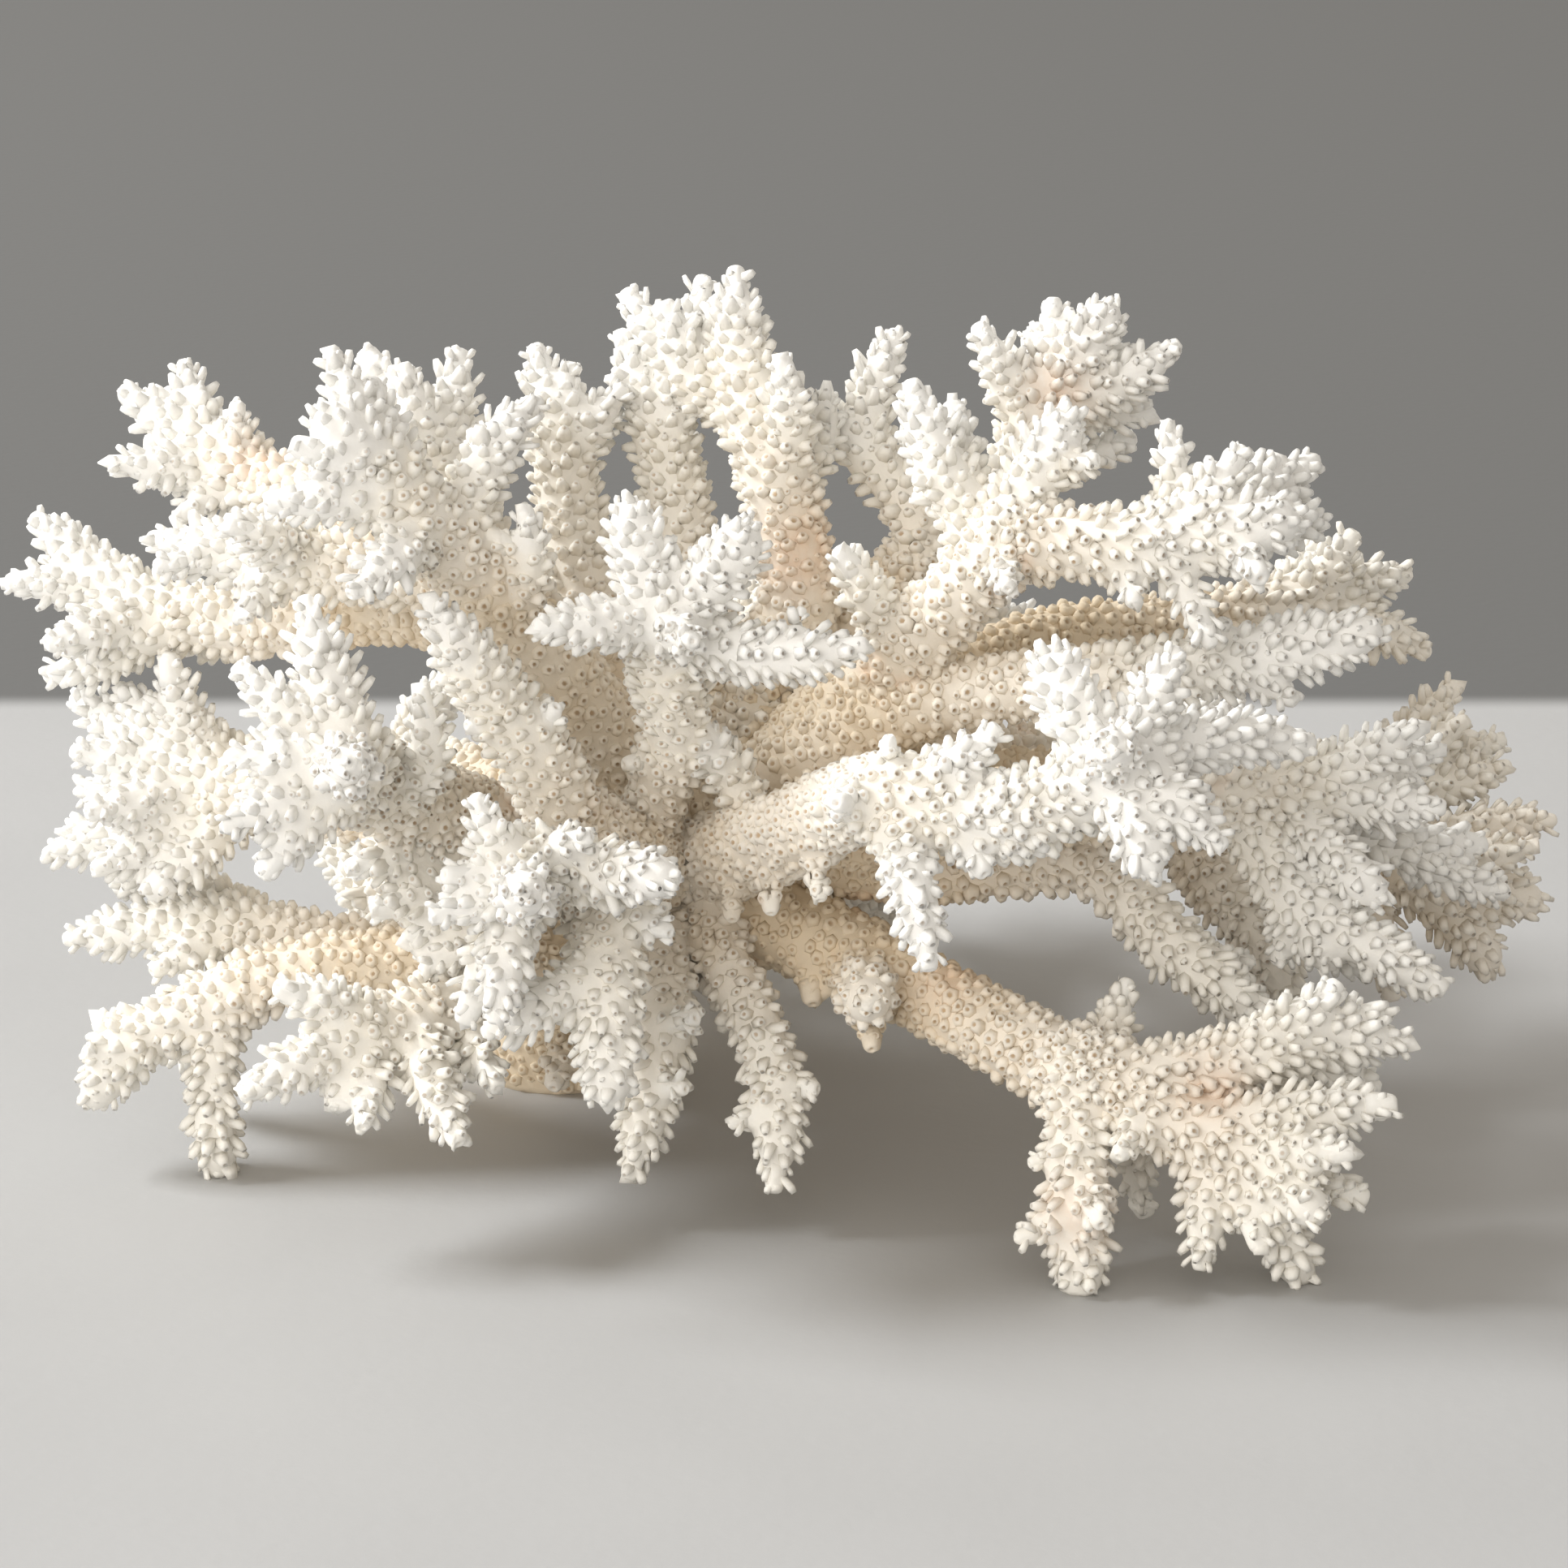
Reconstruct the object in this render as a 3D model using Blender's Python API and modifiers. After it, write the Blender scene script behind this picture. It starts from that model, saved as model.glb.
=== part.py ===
"""A branching coral colony of the staghorn kind, bleached white and cut off flat at its base.

The colony stands on the cut and on a few branch tips. A short trunk rises from the base and forks into
limbs that run out on every side, and each limb ends in a rosette of short fingers. Each limb, from one main
fork to the next, is a piece of its own, parted from the limb that carries it by a thin joint gap.

Places are given the way the colony is seen from its front, by someone who looks down on it a little from one
fixed distance: how far across, how far up, and how much nearer than the middle of the colony. Limbs at the
back, which can't be seen from there, are given by their x, y and z instead.
"""

import math

import bmesh
import bpy
from mathutils import Vector

MM = 0.001

# The viewer: the line of sight dips by this angle and starts this far from the middle of the colony
VIEW_TILT = math.radians(18)
VIEW_DISTANCE = 700.0
MIDDLE = Vector((37.0, -35.0, 60.0))
TOWARD_VIEWER = Vector((0, -math.cos(VIEW_TILT), math.sin(VIEW_TILT)))
PICTURE_UP = Vector((0, math.sin(VIEW_TILT), math.cos(VIEW_TILT)))

# Sizes of the growth, in millimetres
FINGER_ROOT_RADIUS = 5.2
FINGER_TIP_RADIUS = 4.0
BLUNT_END = 0.55
BLUNT_LENGTH = 0.5
STEP_ALONG = 3.0
BASE_RADIUS = 15.0
JOINT_GAP = 0.35
MOST_STRETCH = 2.0
KNOB_HEIGHT = 2.6
KNOB_MIDDLE = 0.4
KNOB_SPACING = 2.6
SURFACE_GRAIN = 1.1
AREA_PER_TRIANGLE = 23.5
CUT_ALLOWANCE = 1.12
WELD_DISTANCE = 0.01
ON_THE_FLOOR = 0.0001
SHARP_ANGLE = math.radians(40)

# Limbs that the viewer sees. Each has the places along it, (across, up, nearer, radius) in millimetres, and
# its fingers, each a list of (across, up, nearer) or (across, up, nearer, radius) from root to tip.
SEEN_LIMBS = {
    "base_and_trunk": (
        [(-36.3, -48.6, -56.3, BASE_RADIUS), (-34.4, -43.0, -51.8, BASE_RADIUS), (-32.5, -36.0, -47.0, 13.0),
         (-24.9, -23.2, -32.1, 11.5), (-16, -12, -17, 12.5), (-10, 4, -16, 10.5), (-3, 15, -14, 8.5)],
        [[(-31, -33, -32, 4.2), (-34, -41, -18, 3.8), (-35.5, -47, -12, 3)],
         [(-29, -33, -30, 3.8), (-30.5, -45, -14, 3)]],
    ),
    "left_main_limb": (
        [(-16, -12, -17, 9.5), (-34, -10, -8, 8.6), (-50, -6, 0, 8.2), (-58, -3, 6, 7.6)],
        [[(-52, -8, 5), (-60, -11, 14), (-67.5, -13, 18, 3.5)],
         [(-50, -10, 4), (-57, -17, 14), (-63.5, -19.5, 18, 3.4)],
         [(-47, -12, 2), (-53, -20, 12), (-58.5, -24.5, 15, 3.4)],
         [(-44, -15, 0), (-49, -24, 12), (-56, -29, 16, 3.6)]],
    ),
    "left_rosette": (
        [(-50, -6, 2, 8), (-60, -2, 18, 7.4), (-66, 2, 32, 7), (-68, 2, 42, 6.6)],
        [[(-66, 3, 40, 6), (-70, 15, 40, 5.4), (-74, 29, 38, 3.9)],
         [(-68, 5, 40), (-78, 12, 42), (-84.5, 18.5, 42)],
         [(-68, 2, 42), (-78, 4, 46), (-86, 4, 48)],
         [(-69, 0, 42), (-79, -3, 46), (-86.5, -7, 48)],
         [(-70, -2, 42), (-76, -8, 44), (-80.5, -14.5, 44)],
         [(-68, 2, 42, 5.6), (-67, 3, 55, 4.6)],
         [(-60, -2, 22, 4.6), (-55, 3, 30, 4.2), (-56, 15, 32, 3.2)]],
    ),
    "left_low_cluster": (
        [(-56, -4, 5, 7.4), (-74, -1, -5, 6.8), (-86, 1, -12, 6.6), (-92, 2, -15, 6.4)],
        [[(-88, 4, -14), (-93, 12, -12), (-95, 20, -10)],
         [(-90, 4, -14), (-98, 10, -18), (-102.5, 15.5, -20)],
         [(-93, 4, -15), (-102, 9, -22), (-109.5, 13.5, -27)],
         [(-93, 2, -15), (-103, 4, -14), (-110, 5, -12)],
         [(-93, 0, -15), (-102, -1, -24), (-108.5, -1, -31)],
         [(-92, -1, -14), (-101, -3, -8), (-107.5, -4.5, -3)],
         [(-90, -3, -14), (-102, -7, -19), (-114, -11, -24)],
         [(-89, -4, -14), (-99, -9.5, -11), (-106.5, -13.5, -7)],
         [(-87, -4, -12), (-95, -12, -22), (-103, -16, -30)],
         [(-85, -4, -12), (-91, -11, -9), (-98.5, -17, -8)]],
    ),
    "left_low_limb": (
        [(-29, -20, -18, 8), (-46, -25, -16, 7.2), (-60, -27, -17, 6.6), (-75, -24.5, -18, 6),
         (-90, -21.5, -20, 5.4), (-111, -24, -22, 3.8)],
        [[(-87, -23, -19), (-97.5, -29, -13, 3.4)],
         [(-80, -23, -20), (-90, -17, -32), (-96, -16, -40, 3.6)],
         [(-62, -28, -20), (-72, -29, -34), (-80, -27, -44, 3.6)]],
    ),
    "lower_left_limb": (
        [(-42, -25, -12, 7), (-60, -28, -8, 6.6), (-72, -28.5, -6, 6.2), (-85, -32, -6, 5.8),
         (-97, -38, -6, 5.4), (-103, -41, -6, 5)],
        [[(-100, -40, -6, 4.6), (-106, -35.5, -9, 3.4)],
         [(-101, -41, -6, 4.6), (-108, -41.5, -1, 3.6)],
         [(-102, -42, -6, 5.2), (-107.3, -49.5, -4, 4.2)],
         [(-86, -33, -6, 5.2), (-88, -44, -6, 4.8), (-87, -61, -7.5, 4.4)],
         [(-84, -33, -8), (-90, -38, -20), (-95, -42, -29, 3.6)]],
    ),
    "front_low_left_cluster": (
        [(-30, -24, -16, 7.4), (-44, -31, 2, 6.8), (-55, -36, 14, 6.4), (-67, -40, 22, 6)],
        [[(-63, -38, 20), (-71, -34, 25), (-78.5, -31, 28)],
         [(-66, -40, 22), (-76, -44, 28), (-84, -48, 30)],
         [(-66, -41, 22, 4.4), (-69.5, -50, 28, 3.4)],
         [(-63, -41, 22, 4.4), (-65, -53, 32, 3.4)],
         [(-57, -38, 17), (-54, -46, 26), (-50, -55.5, 32, 3.6)],
         [(-56, -37, 18, 3.8), (-56, -43.5, 26, 3)],
         [(-50, -34, 10, 4.4), (-47, -42, 20, 3.6), (-44, -47, 25, 3)]],
    ),
    "front_rosette": (
        [(-16, -12, -12, 9), (-24, -12, 2, 8.4), (-33, -13, 20, 7.6), (-40, -15, 36, 7.2),
         (-41, -15, 42, 6.6)],
        [[(-41, -13, 40), (-45, -8, 44), (-47.5, -1.5, 46)],
         [(-42, -15, 42), (-52.5, -14, 50)],
         [(-42, -16, 42), (-48, -18.5, 47), (-54.5, -20.5, 50)],
         [(-41, -16, 42, 5.6), (-40, -17, 58, 4.6)],
         [(-36, -13, 34, 5.6), (-27, -13.5, 42, 5.4), (-16.5, -14.5, 48, 4.3)],
         [(-37, -12, 37, 4.4), (-33, -9, 45, 4), (-29.5, -8, 47, 3.2)],
         [(-41, -18, 40), (-43, -27, 46), (-44.5, -37, 48)],
         [(-42, -20, 34, 4.8), (-46, -29, 36, 4.4), (-49.5, -37, 36, 3.4)]],
    ),
    "front_hanging_branch": (
        [(-22, -13, 0, 7.6), (-27, -18, 22, 6.8), (-27.5, -33, 34, 6.2), (-27, -49.5, 38, 4.4)],
        [[(-28, -28, 32), (-37, -34, 38), (-46.5, -38.5, 41, 3.6)],
         [(-26, -19, 28), (-17.5, -23, 36, 3.8)]],
    ),
    "second_hanging_branch": (
        [(-20, -16, -12, 7.2), (-19.5, -27, 2, 6.2), (-19, -40, 10, 5.8), (-24, -61, 14, 3.8)],
        [[(-19, -37, 10, 4), (-13.5, -36, 17, 2.8)],
         [(-20, -46, 12, 3.6), (-15, -47, 18, 2.6)]],
    ),
    "diagonal_branch": (
        [(-24, -11, 4, 7.6), (-33, -5, 18, 6.8), (-38, 4, 27, 6.4), (-45, 14, 34, 5.8),
         (-50, 21, 38, 5.2), (-55, 29, 42, 3.7)],
        [[(-41, 9, 29, 3.6), (-49, 9, 34, 2.6)],
         [(-40, 6, 27, 3.6), (-35, 12, 34, 2.8)]],
    ),
    "centre_cluster": (
        [(-22, -9, -4, 5.8), (-19, 0, 8, 5.4), (-17, 8, 15, 5.8), (-18, 18, 22, 6.6), (-18, 26, 28, 6.6)],
        [[(-4, -8, 6, 4.8), (-8, 1, 10, 4.4), (-15, 9, 16, 4.4)],
         [(-19, 27, 28, 6), (-22, 35, 30, 5.6), (-24.5, 43.5, 30, 4.4)],
         [(-20, 25, 28), (-29, 24.5, 34), (-38.7, 24, 38, 3.6)],
         [(-16, 27, 28, 6), (-9, 34, 32, 5.6), (-5, 40.5, 34, 4.6)],
         [(-16, 22, 26, 5.6), (-4, 20, 30, 5), (5, 20, 32, 4.6), (13, 21.5, 34, 3.4)],
         [(1, 22, 31, 2.2), (2.8, 27.3, 31, 1.6)],
         [(-18, 4, 11, 3), (-24.8, 3, 15, 2.2)],
         [(-18, 24, 28, 5), (-14, 22, 40, 3.8)]],
    ),
    "upper_left_limb": (
        [(-14, -4, -14, 8.8), (-27, 7, -2, 7.8), (-38, 20, 12, 7.2), (-48, 32, 24, 6.8),
         (-57, 42, 33, 6.6), (-62, 48, 36, 6)],
        [[(-61, 47, 36), (-66, 57, 36), (-70, 67, 34, 3.5)],
         [(-60, 46, 35), (-62, 55, 33), (-64, 62.5, 31)],
         [(-61, 47, 36, 5.6), (-67, 53, 40, 5.4), (-72, 58, 42, 4.4)],
         [(-60, 46, 36, 4.6), (-69, 50, 42, 4.2), (-76, 52.5, 44, 3.2)],
         [(-58, 43, 34), (-70, 44, 40), (-80, 43, 42)],
         [(-51, 36, 28, 5.4), (-47, 47, 27, 5), (-43, 54, 25, 4.6), (-37.5, 59.5, 23, 3.8)],
         [(-55, 39, 31), (-60, 35, 41), (-67, 29, 46, 3.7)],
         [(-42, 26, 18, 4.4), (-39, 33, 27, 3.8), (-40, 43, 30, 2.8)],
         [(-39, 33, 27, 3.2), (-44.5, 38.5, 31, 2.4)]],
    ),
    "upper_left_inner_limb": (
        [(-34, 17, 4, 6.8), (-44, 32, 8, 6.2), (-52, 46, 10, 5.8), (-55, 53, 10, 5.4)],
        [[(-54, 51, 10), (-60, 59, 8), (-64.5, 67, 6)],
         [(-55, 52, 10), (-57, 59, 13), (-58.5, 65, 14, 3.6)],
         [(-53, 49, 10), (-51, 59, 8), (-50, 67, 6)]],
    ),
    "upper_left_back_cluster": (
        [(-55, 40, 26, 6.4), (-68, 43, 10, 6.2), (-80, 46, -4, 6), (-88, 50, -10, 5.8)],
        [[(-87, 50, -10), (-95, 55.5, -13), (-102, 61, -16)],
         [(-88, 51, -10), (-91, 58, -14), (-92.5, 65.2, -18)],
         [(-84, 49, -8), (-84.3, 59, -5)],
         [(-87, 49, -10), (-96, 49, -6), (-104.3, 49.5, -3)],
         [(-85, 47, -8, 4.6), (-93.5, 41, -2, 3.2)],
         [(-86, 49, -10), (-90, 51, -24), (-95, 54, -34, 3.6)]],
    ),
    "mid_left_limb": (
        [(-46, 30, 22, 6.4), (-60, 33, 18, 6.2), (-75, 34, 13, 5.8), (-86, 35.5, 9, 5.4),
         (-98, 38, 5, 3.8)],
        [[(-79, 33, 12), (-83.5, 25, 18, 3.6)],
         [(-85, 36, 9, 4.4), (-97, 33.5, 15, 3.2)],
         [(-72, 34, 12), (-80, 38, 22), (-86, 40, 28, 3.6)]],
    ),
    "far_left_limb": (
        [(-40, 23, 8, 7), (-60, 27, -1, 6.4), (-78, 25, -8, 6.2), (-92, 26, -14, 6), (-104, 29.5, -18, 5.4)],
        [[(-103, 30, -18), (-110, 36, -20), (-115.7, 41.5, -22)],
         [(-104, 30, -18), (-113, 31, -16), (-120, 31, -14)],
         [(-97, 27, -16), (-106, 24, -11), (-113.7, 21.5, -7)],
         [(-95, 25, -14), (-105, 19.5, -18), (-113.7, 16.5, -22)],
         [(-102, 30, -18), (-108, 30, -30), (-111, 33, -38, 3.6)],
         [(-84, 25, -10), (-88, 23, -24), (-92, 25, -36, 3.6)]],
    ),
    "left_back_upright": (
        [(-14, 0, -15, 8), (-24, 13, -13, 6.8), (-30, 27, -10, 6.2), (-33, 42, -10, 6),
         (-35, 55, -10, 5.8), (-38.5, 67.8, -11, 4)],
        [[(-34, 54, -10), (-33, 65, -7, 3.6)],
         [(-33, 50, -10, 4.8), (-29, 56, -8, 4.4), (-24.5, 61.5, -6, 3.4)],
         [(-33, 42, -12), (-34, 50, -22), (-37, 57, -28, 3.6)]],
    ),
    "middle_back_upright": (
        [(-8, 8, -15, 7.8), (-12, 22, -12, 6.4), (-15, 34, -12, 6), (-17, 46, -12, 5.8),
         (-20, 56, -12, 5.4), (-25.5, 70, -12, 3.8)],
        [[(-18, 53, -12), (-17, 66, -8, 3.6)],
         [(-17, 45, -13), (-17, 50, -26), (-18, 55, -34, 3.6)]],
    ),
    "top_limb": (
        [(-3, 15, -14, 8.4), (2, 27, -8, 7.2), (0.5, 40, -5, 6.6), (-2.5, 50, -4, 6.4), (-5, 60, -4, 5.8),
         (-7, 70, -5, 5.2), (-7.5, 79.8, -6, 3.6)],
        [[(-5, 56, -5), (-12, 61, -8), (-18, 67, -10), (-24.7, 76, -12, 3.7)],
         [(-13, 62, -8, 4.6), (-16, 68, -7, 4.2), (-18.5, 74.5, -6, 3.4)],
         [(-12, 61, -8, 4.8), (-13, 70, -11, 4.2), (-12.5, 78.4, -12, 3.4)],
         [(-1, 46, -4), (1, 56, 1), (-0.5, 66, 4, 3.5)],
         [(0, 45, -5), (5, 53, -9), (6.5, 61, -11, 3.5)],
         [(-3, 52, -6), (-2, 60, -18), (-3, 66, -24, 3.6)]],
    ),
    "right_back_upright": (
        [(4, 16, -17, 7.6), (14, 26, -16, 6.4), (20.5, 35, -15, 5.2), (19.5, 43, -14, 4.6),
         (14, 50, -14, 5), (13, 58, -14, 4.8), (17.5, 70, -15, 3.2)],
        [[(13, 50, -14, 4.6), (8, 57, -12, 3.4)],
         [(19, 43, -15), (20, 50, -24), (22, 55, -30, 3.6)]],
    ),
    "right_upper_limb": (
        [(0, 4, -10, 8.2), (12, 14, 0, 7.4), (22, 24, 9, 6.8), (30, 33, 15, 6.6), (35, 38, 19, 6.2)],
        [[(18, 20, 6), (13, 29, 11), (8.3, 36.5, 14, 3.6)],
         [(31, 35, 16, 5.4), (26, 45, 15, 5.2), (22, 54, 14, 4.8), (19.5, 62.3, 13, 3.9)],
         [(25, 46, 15, 3.4), (20, 47, 19, 2.6)],
         [(28, 44, 14, 4.6), (27, 51, 9, 4.2), (26, 59, 6, 3.4)],
         [(33, 38, 18, 5.8), (38, 46, 18, 5.6), (44.5, 58, 18, 4.4)],
         [(40, 49, 18, 4.2), (48.5, 50, 22, 3.2)],
         [(33, 35, 20, 3.6), (34.5, 30, 29, 2.6)]],
    ),
    "right_upper_arm": (
        [(34, 37, 18, 6.4), (45, 37, 22, 6.2), (60, 37, 26, 6.2), (70, 39, 28, 5.8), (79.8, 41.5, 30, 4.6)],
        [[(60, 38, 26), (66, 45, 26), (71, 52, 26, 3.7)],
         [(52, 35, 23, 4.2), (54, 27.5, 28, 3)],
         [(60, 34, 26, 4), (66, 21, 29, 2.8)],
         [(69, 37, 28, 4.2), (73.5, 31.5, 36, 3)],
         [(57, 39, 22, 4.2), (60, 46, 17, 3.8), (59, 56, 13, 2.9)],
         [(65, 40, 24), (72, 45, 16), (75.8, 50, 11, 3.5)],
         [(70, 42, 20), (76, 46, 10), (82, 50, 5, 3.5)],
         [(72, 40, 22), (83, 40, 10, 3.5)]],
    ),
    "back_crown": (
        [(17, 30, -16, 6.6), (29, 40, -20, 6.2), (35, 47, -22, 6), (38, 54, -24, 5.8), (41, 61, -25, 5.4)],
        [[(38, 56, -24), (34, 63, -22), (29.7, 71, -20, 3.6)],
         [(40, 60, -25), (38, 70, -30, 3.5)],
         [(41, 60, -25), (41.5, 75, -24, 3.8)],
         [(42, 61, -25, 5.6), (46, 67, -22, 5.4), (50.7, 74, -20, 4.4)],
         [(43, 61, -25), (53, 67, -31, 3.6)],
         [(42, 60, -25), (52, 62, -22), (61, 68, -20, 3.6)],
         [(42, 58, -25), (50, 58, -28), (57, 56.5, -30, 3.5)],
         [(38, 53, -24, 3.8), (46, 50, -29, 3.4), (54, 53.5, -33, 2.8)]],
    ),
    "brown_back_limb": (
        [(-8, 0, -22, 8.6), (8, 8, -25, 7.2), (20, 13, -28, 6.4), (35, 21, -34, 5.8), (50, 24, -38, 5.6),
         (62, 25, -41, 5.6), (80, 28, -46, 5.4)],
        [[(79, 28, -46), (84, 33, -44), (88, 39, -42, 3.6)],
         [(80, 28, -47), (89, 31, -50), (96.5, 32.5, -53, 3.6)],
         [(80, 27, -47), (91, 24, -48), (99.5, 20, -50, 3.6)],
         [(77, 28, -46), (81, 33, -54), (82.5, 38, -60, 3.4)],
         [(45, 23, -37), (48, 20, -52), (50, 21, -62, 3.6)]],
    ),
    "far_right_limb": (
        [(-10, -8, -22, 8.2), (12, -2, -28, 7.2), (35, 0, -33, 6.8), (55, -1, -38, 6.6), (75, -2, -42, 6.4),
         (91, -3, -44, 6)],
        [[(87, -2, -44), (96, 7, -46), (104, 15.5, -48)],
         [(89, -2, -44), (98, 5, -42), (105.5, 10, -39)],
         [(91, -3, -44), (102, 3, -49), (111, 7, -52)],
         [(91, -4, -44), (103, 0, -42), (112, 3, -42)],
         [(70, -1, -42), (78, 3, -56), (84, 4, -66, 3.6)],
         [(88, -3, -46), (96, -2, -58), (102, 0, -66, 3.6)]],
    ),
    "far_right_low_limb": (
        [(72, -3, -42, 6.2), (88, -9, -39, 6), (100, -14, -37, 5.8)],
        [[(94, -11, -38), (107, -7, -38), (119, -5.5, -38, 4)],
         [(97, -13, -37), (108, -11.5, -33), (116, -9.5, -29)],
         [(99, -14, -37, 5.6), (109, -16.5, -38, 5.4), (116.5, -18.5, -40, 4.2)],
         [(98, -15, -37, 5.6), (105, -22, -37, 5.4), (109, -29, -37, 4.2)],
         [(97, -14, -38), (104, -17, -50), (108, -20, -58, 3.6)],
         [(88, -10, -38), (91, -22, -36), (94, -33.5, -35, 3.5)]],
    ),
    "back_right_hanging_limb": (
        [(54, -2, -36, 6.6), (63, -10, -26, 6), (70, -19, -20, 5.8), (76, -28, -16, 5.4),
         (79.5, -36, -14, 4)],
        [[(67, -16, -22), (74, -17, -34), (78, -21, -43, 3.6)]],
    ),
    "cream_limb": (
        [(-2, 0, -8, 7.8), (12, 9, 2, 6.8), (28, 14, 8, 6.2), (45, 15.5, 13, 6), (63, 18, 17, 5.8),
         (78, 20.5, 20, 5.4), (92, 24, 22, 4.2)],
        [[(66, 19, 17, 3.4), (68, 25.5, 20, 2.4)],
         [(74, 20, 19, 4.4), (83, 25.5, 17, 3.2)],
         [(70, 19, 18, 4.4), (79, 12.5, 22, 3.2)],
         [(50, 16, 12), (56, 14, -2), (60, 15, -12, 3.6)]],
    ),
    "centre_right_cluster": (
        [(-12, -12, -6, 8), (0, -8, 18, 7.4), (8, -4, 32, 7.2), (16, -2, 42, 7), (28, -5, 46, 6.4),
         (36, -5, 47, 6.2)],
        [[(16, 0, 44, 3.2), (16.3, 7.6, 46, 2.2)],
         [(16, -5, 44), (20, -17, 50), (22.5, -28.8, 53, 3.6)],
         [(21, -1, 43), (27, 3, 46), (33, 9, 48, 3.6)],
         [(-8, -13, 6, 3.4), (-8, -21, 12, 2.4)],
         [(-2, -12, 16, 3), (-2, -20, 21, 2.2)],
         [(5, -9, 28, 3.2), (5.5, -18, 32, 2.4)],
         [(12, -3, 40, 5), (8, -3, 52, 3.8)],
         [(26, -6, 44, 4.4), (31, -14, 50, 3.4)]],
    ),
    "star_cluster": (
        [(36, -5, 47, 6.4), (45, -1, 49, 6.8), (52, 4, 50, 6.8)],
        [[(49, 4, 50, 5.8), (44, 13, 50, 5.6), (40.3, 21, 48, 4.6)],
         [(53, 5, 50), (57, 13, 50), (60.7, 21, 48, 3.9)],
         [(54, 4, 49, 5.6), (65, 6.5, 42, 5.2), (77, 8, 36, 4)],
         [(51, 1, 50, 5.6), (54, -6, 54, 5.4), (57, -14.3, 56, 4.2)],
         [(54, 2, 50, 5.6), (61, -4, 54, 5.2), (68, -10, 56, 4)],
         [(70, 7, 39, 3.8), (81.5, 6, 34, 2.8)],
         [(52, 4, 50, 5.4), (50, 6, 63, 4.2)]],
    ),
    "right_middle_limb": (
        [(10, -7, 10, 7.2), (33, -4, 17, 6.8), (55, -3, 14, 6.6), (72, -2, 9, 6.4), (84, -1, 5, 5.8)],
        [[(82, 0, 5), (91, 5, 6), (98.5, 9, 6)],
         [(84, 0, 5), (94, 3, 1), (101.5, 5.5, -2, 3.7)],
         [(83, -2, 5), (94, -3, 6), (102, -3.7, 7)],
         [(76, -4, 8), (85, -11, 11), (92, -18, 13, 4.2)],
         [(84, -5, 0, 4.6), (96, -8, -8, 4), (108, -9.5, -14, 3)],
         [(88, -7, -3, 4.4), (100, -12.5, -11, 4), (111.5, -17, -17, 3)]],
    ),
    "right_descending_limb": (
        [(70, -3, 9, 6.4), (76, -12, 8, 6), (81, -20, 8, 5.8), (84, -28.5, 8, 4.2)],
        [[(79, -17, 8), (90, -25, 10), (102, -32, 12, 3.8)],
         [(79, -19, 7, 4.8), (76, -28, 5, 3.4)],
         [(82, -22, 6, 4.8), (90, -29, 0, 3.4)]],
    ),
    "arch_limb": (
        [(2, -10, -8, 7.2), (20, -13, 0, 6.2), (35, -12.5, 4, 5.8), (46, -12, 6, 5.8), (52, -16, 7, 5.6),
         (60, -25, 9, 5.6), (76, -38.5, 12, 3.8)],
        [[(64, -28, 10, 4), (72, -27.5, 5, 2.8)]],
    ),
    "centre_hanging_branch": (
        [(-13, -16, -8, 6.8), (-9, -28, 3, 5.2), (-3, -40, 10, 5), (-1, -51, 14, 5.2), (-1.5, -63, 17, 3.8)],
        [[(-2, -50, 14, 3.4), (-8.5, -52.5, 17, 2.2)],
         [(-1, -46, 13, 3), (5.3, -47, 16, 2)]],
    ),
    "big_right_lower_limb": (
        [(-15, -14, -14, 9.6), (-2, -21, -6, 8), (12, -27, 2, 7.4), (25, -34, 12, 7), (38, -41, 22, 7),
         (47, -45.5, 28, 6.8)],
        [[(12, -29, 4, 6.2), (13, -34, 24, 4.8)],
         [(13, -36, 14, 3.4), (13.5, -41, 18, 2.4)],
         [(4, -26, 0, 3.6), (4.5, -34, 5, 2.6)]],
    ),
    "foot_branch": (
        [(45.5, -44, 28, 6.8), (45.5, -56, 31, 5.6), (45, -66, 33, 5.6), (45.5, -74, 34, 5),
         (45.5, -79.5, 34, 4.6)],
        [[(44, -65, 33, 4.4), (39, -69, 36, 3.8), (35.5, -70, 37, 2.6)],
         [(43, -57, 31, 2.8), (37.7, -58.5, 33, 2)],
         [(46, -61, 33, 4), (49, -68, 42, 3)]],
    ),
    "bottom_right_limb": (
        [(46, -44.5, 27, 6.8), (55, -46, 30, 6.6), (64, -44, 30, 6), (73, -41, 30, 5.6),
         (80, -36.5, 28, 5.2), (85.5, -30.5, 27, 4)],
        [[(49, -42, 25, 4.4), (51, -36, 20, 4), (53, -30, 18, 3)],
         [(74, -41, 29), (86, -39, 26), (97, -40, 24, 3.9)],
         [(76, -42, 27), (85, -44, 23), (91.5, -47, 20, 3.6)],
         [(82, -39, 26, 4.4), (93, -34.5, 23, 3.2)]],
    ),
    "bottom_right_cluster": (
        [(50, -46.5, 28, 6.6), (60, -52, 31, 6.4), (68, -55, 33, 6.6), (73, -58, 34, 6)],
        [[(66, -53, 33), (80, -50.5, 36), (94.5, -49.5, 38, 3.7)],
         [(73, -56, 35), (81, -57, 41), (88, -56.5, 44, 3.5)],
         [(73, -60, 35), (83, -66.5, 44, 4.2)],
         [(74, -59, 33), (90, -64, 33, 3.6)],
         [(71, -60, 34), (76, -68, 34), (80, -77, 30, 4.2)],
         [(65, -57, 32), (65, -66, 34), (64, -75, 35, 3.7)],
         [(57, -52, 27, 3.4), (54, -60, 19, 3), (56, -66.5, 16, 2.4)],
         [(56, -50, 31, 4.8), (51.5, -57.5, 38, 3.4)],
         [(71, -62, 35, 4), (73.5, -72, 39, 2.8)]],
    ),
}

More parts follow.
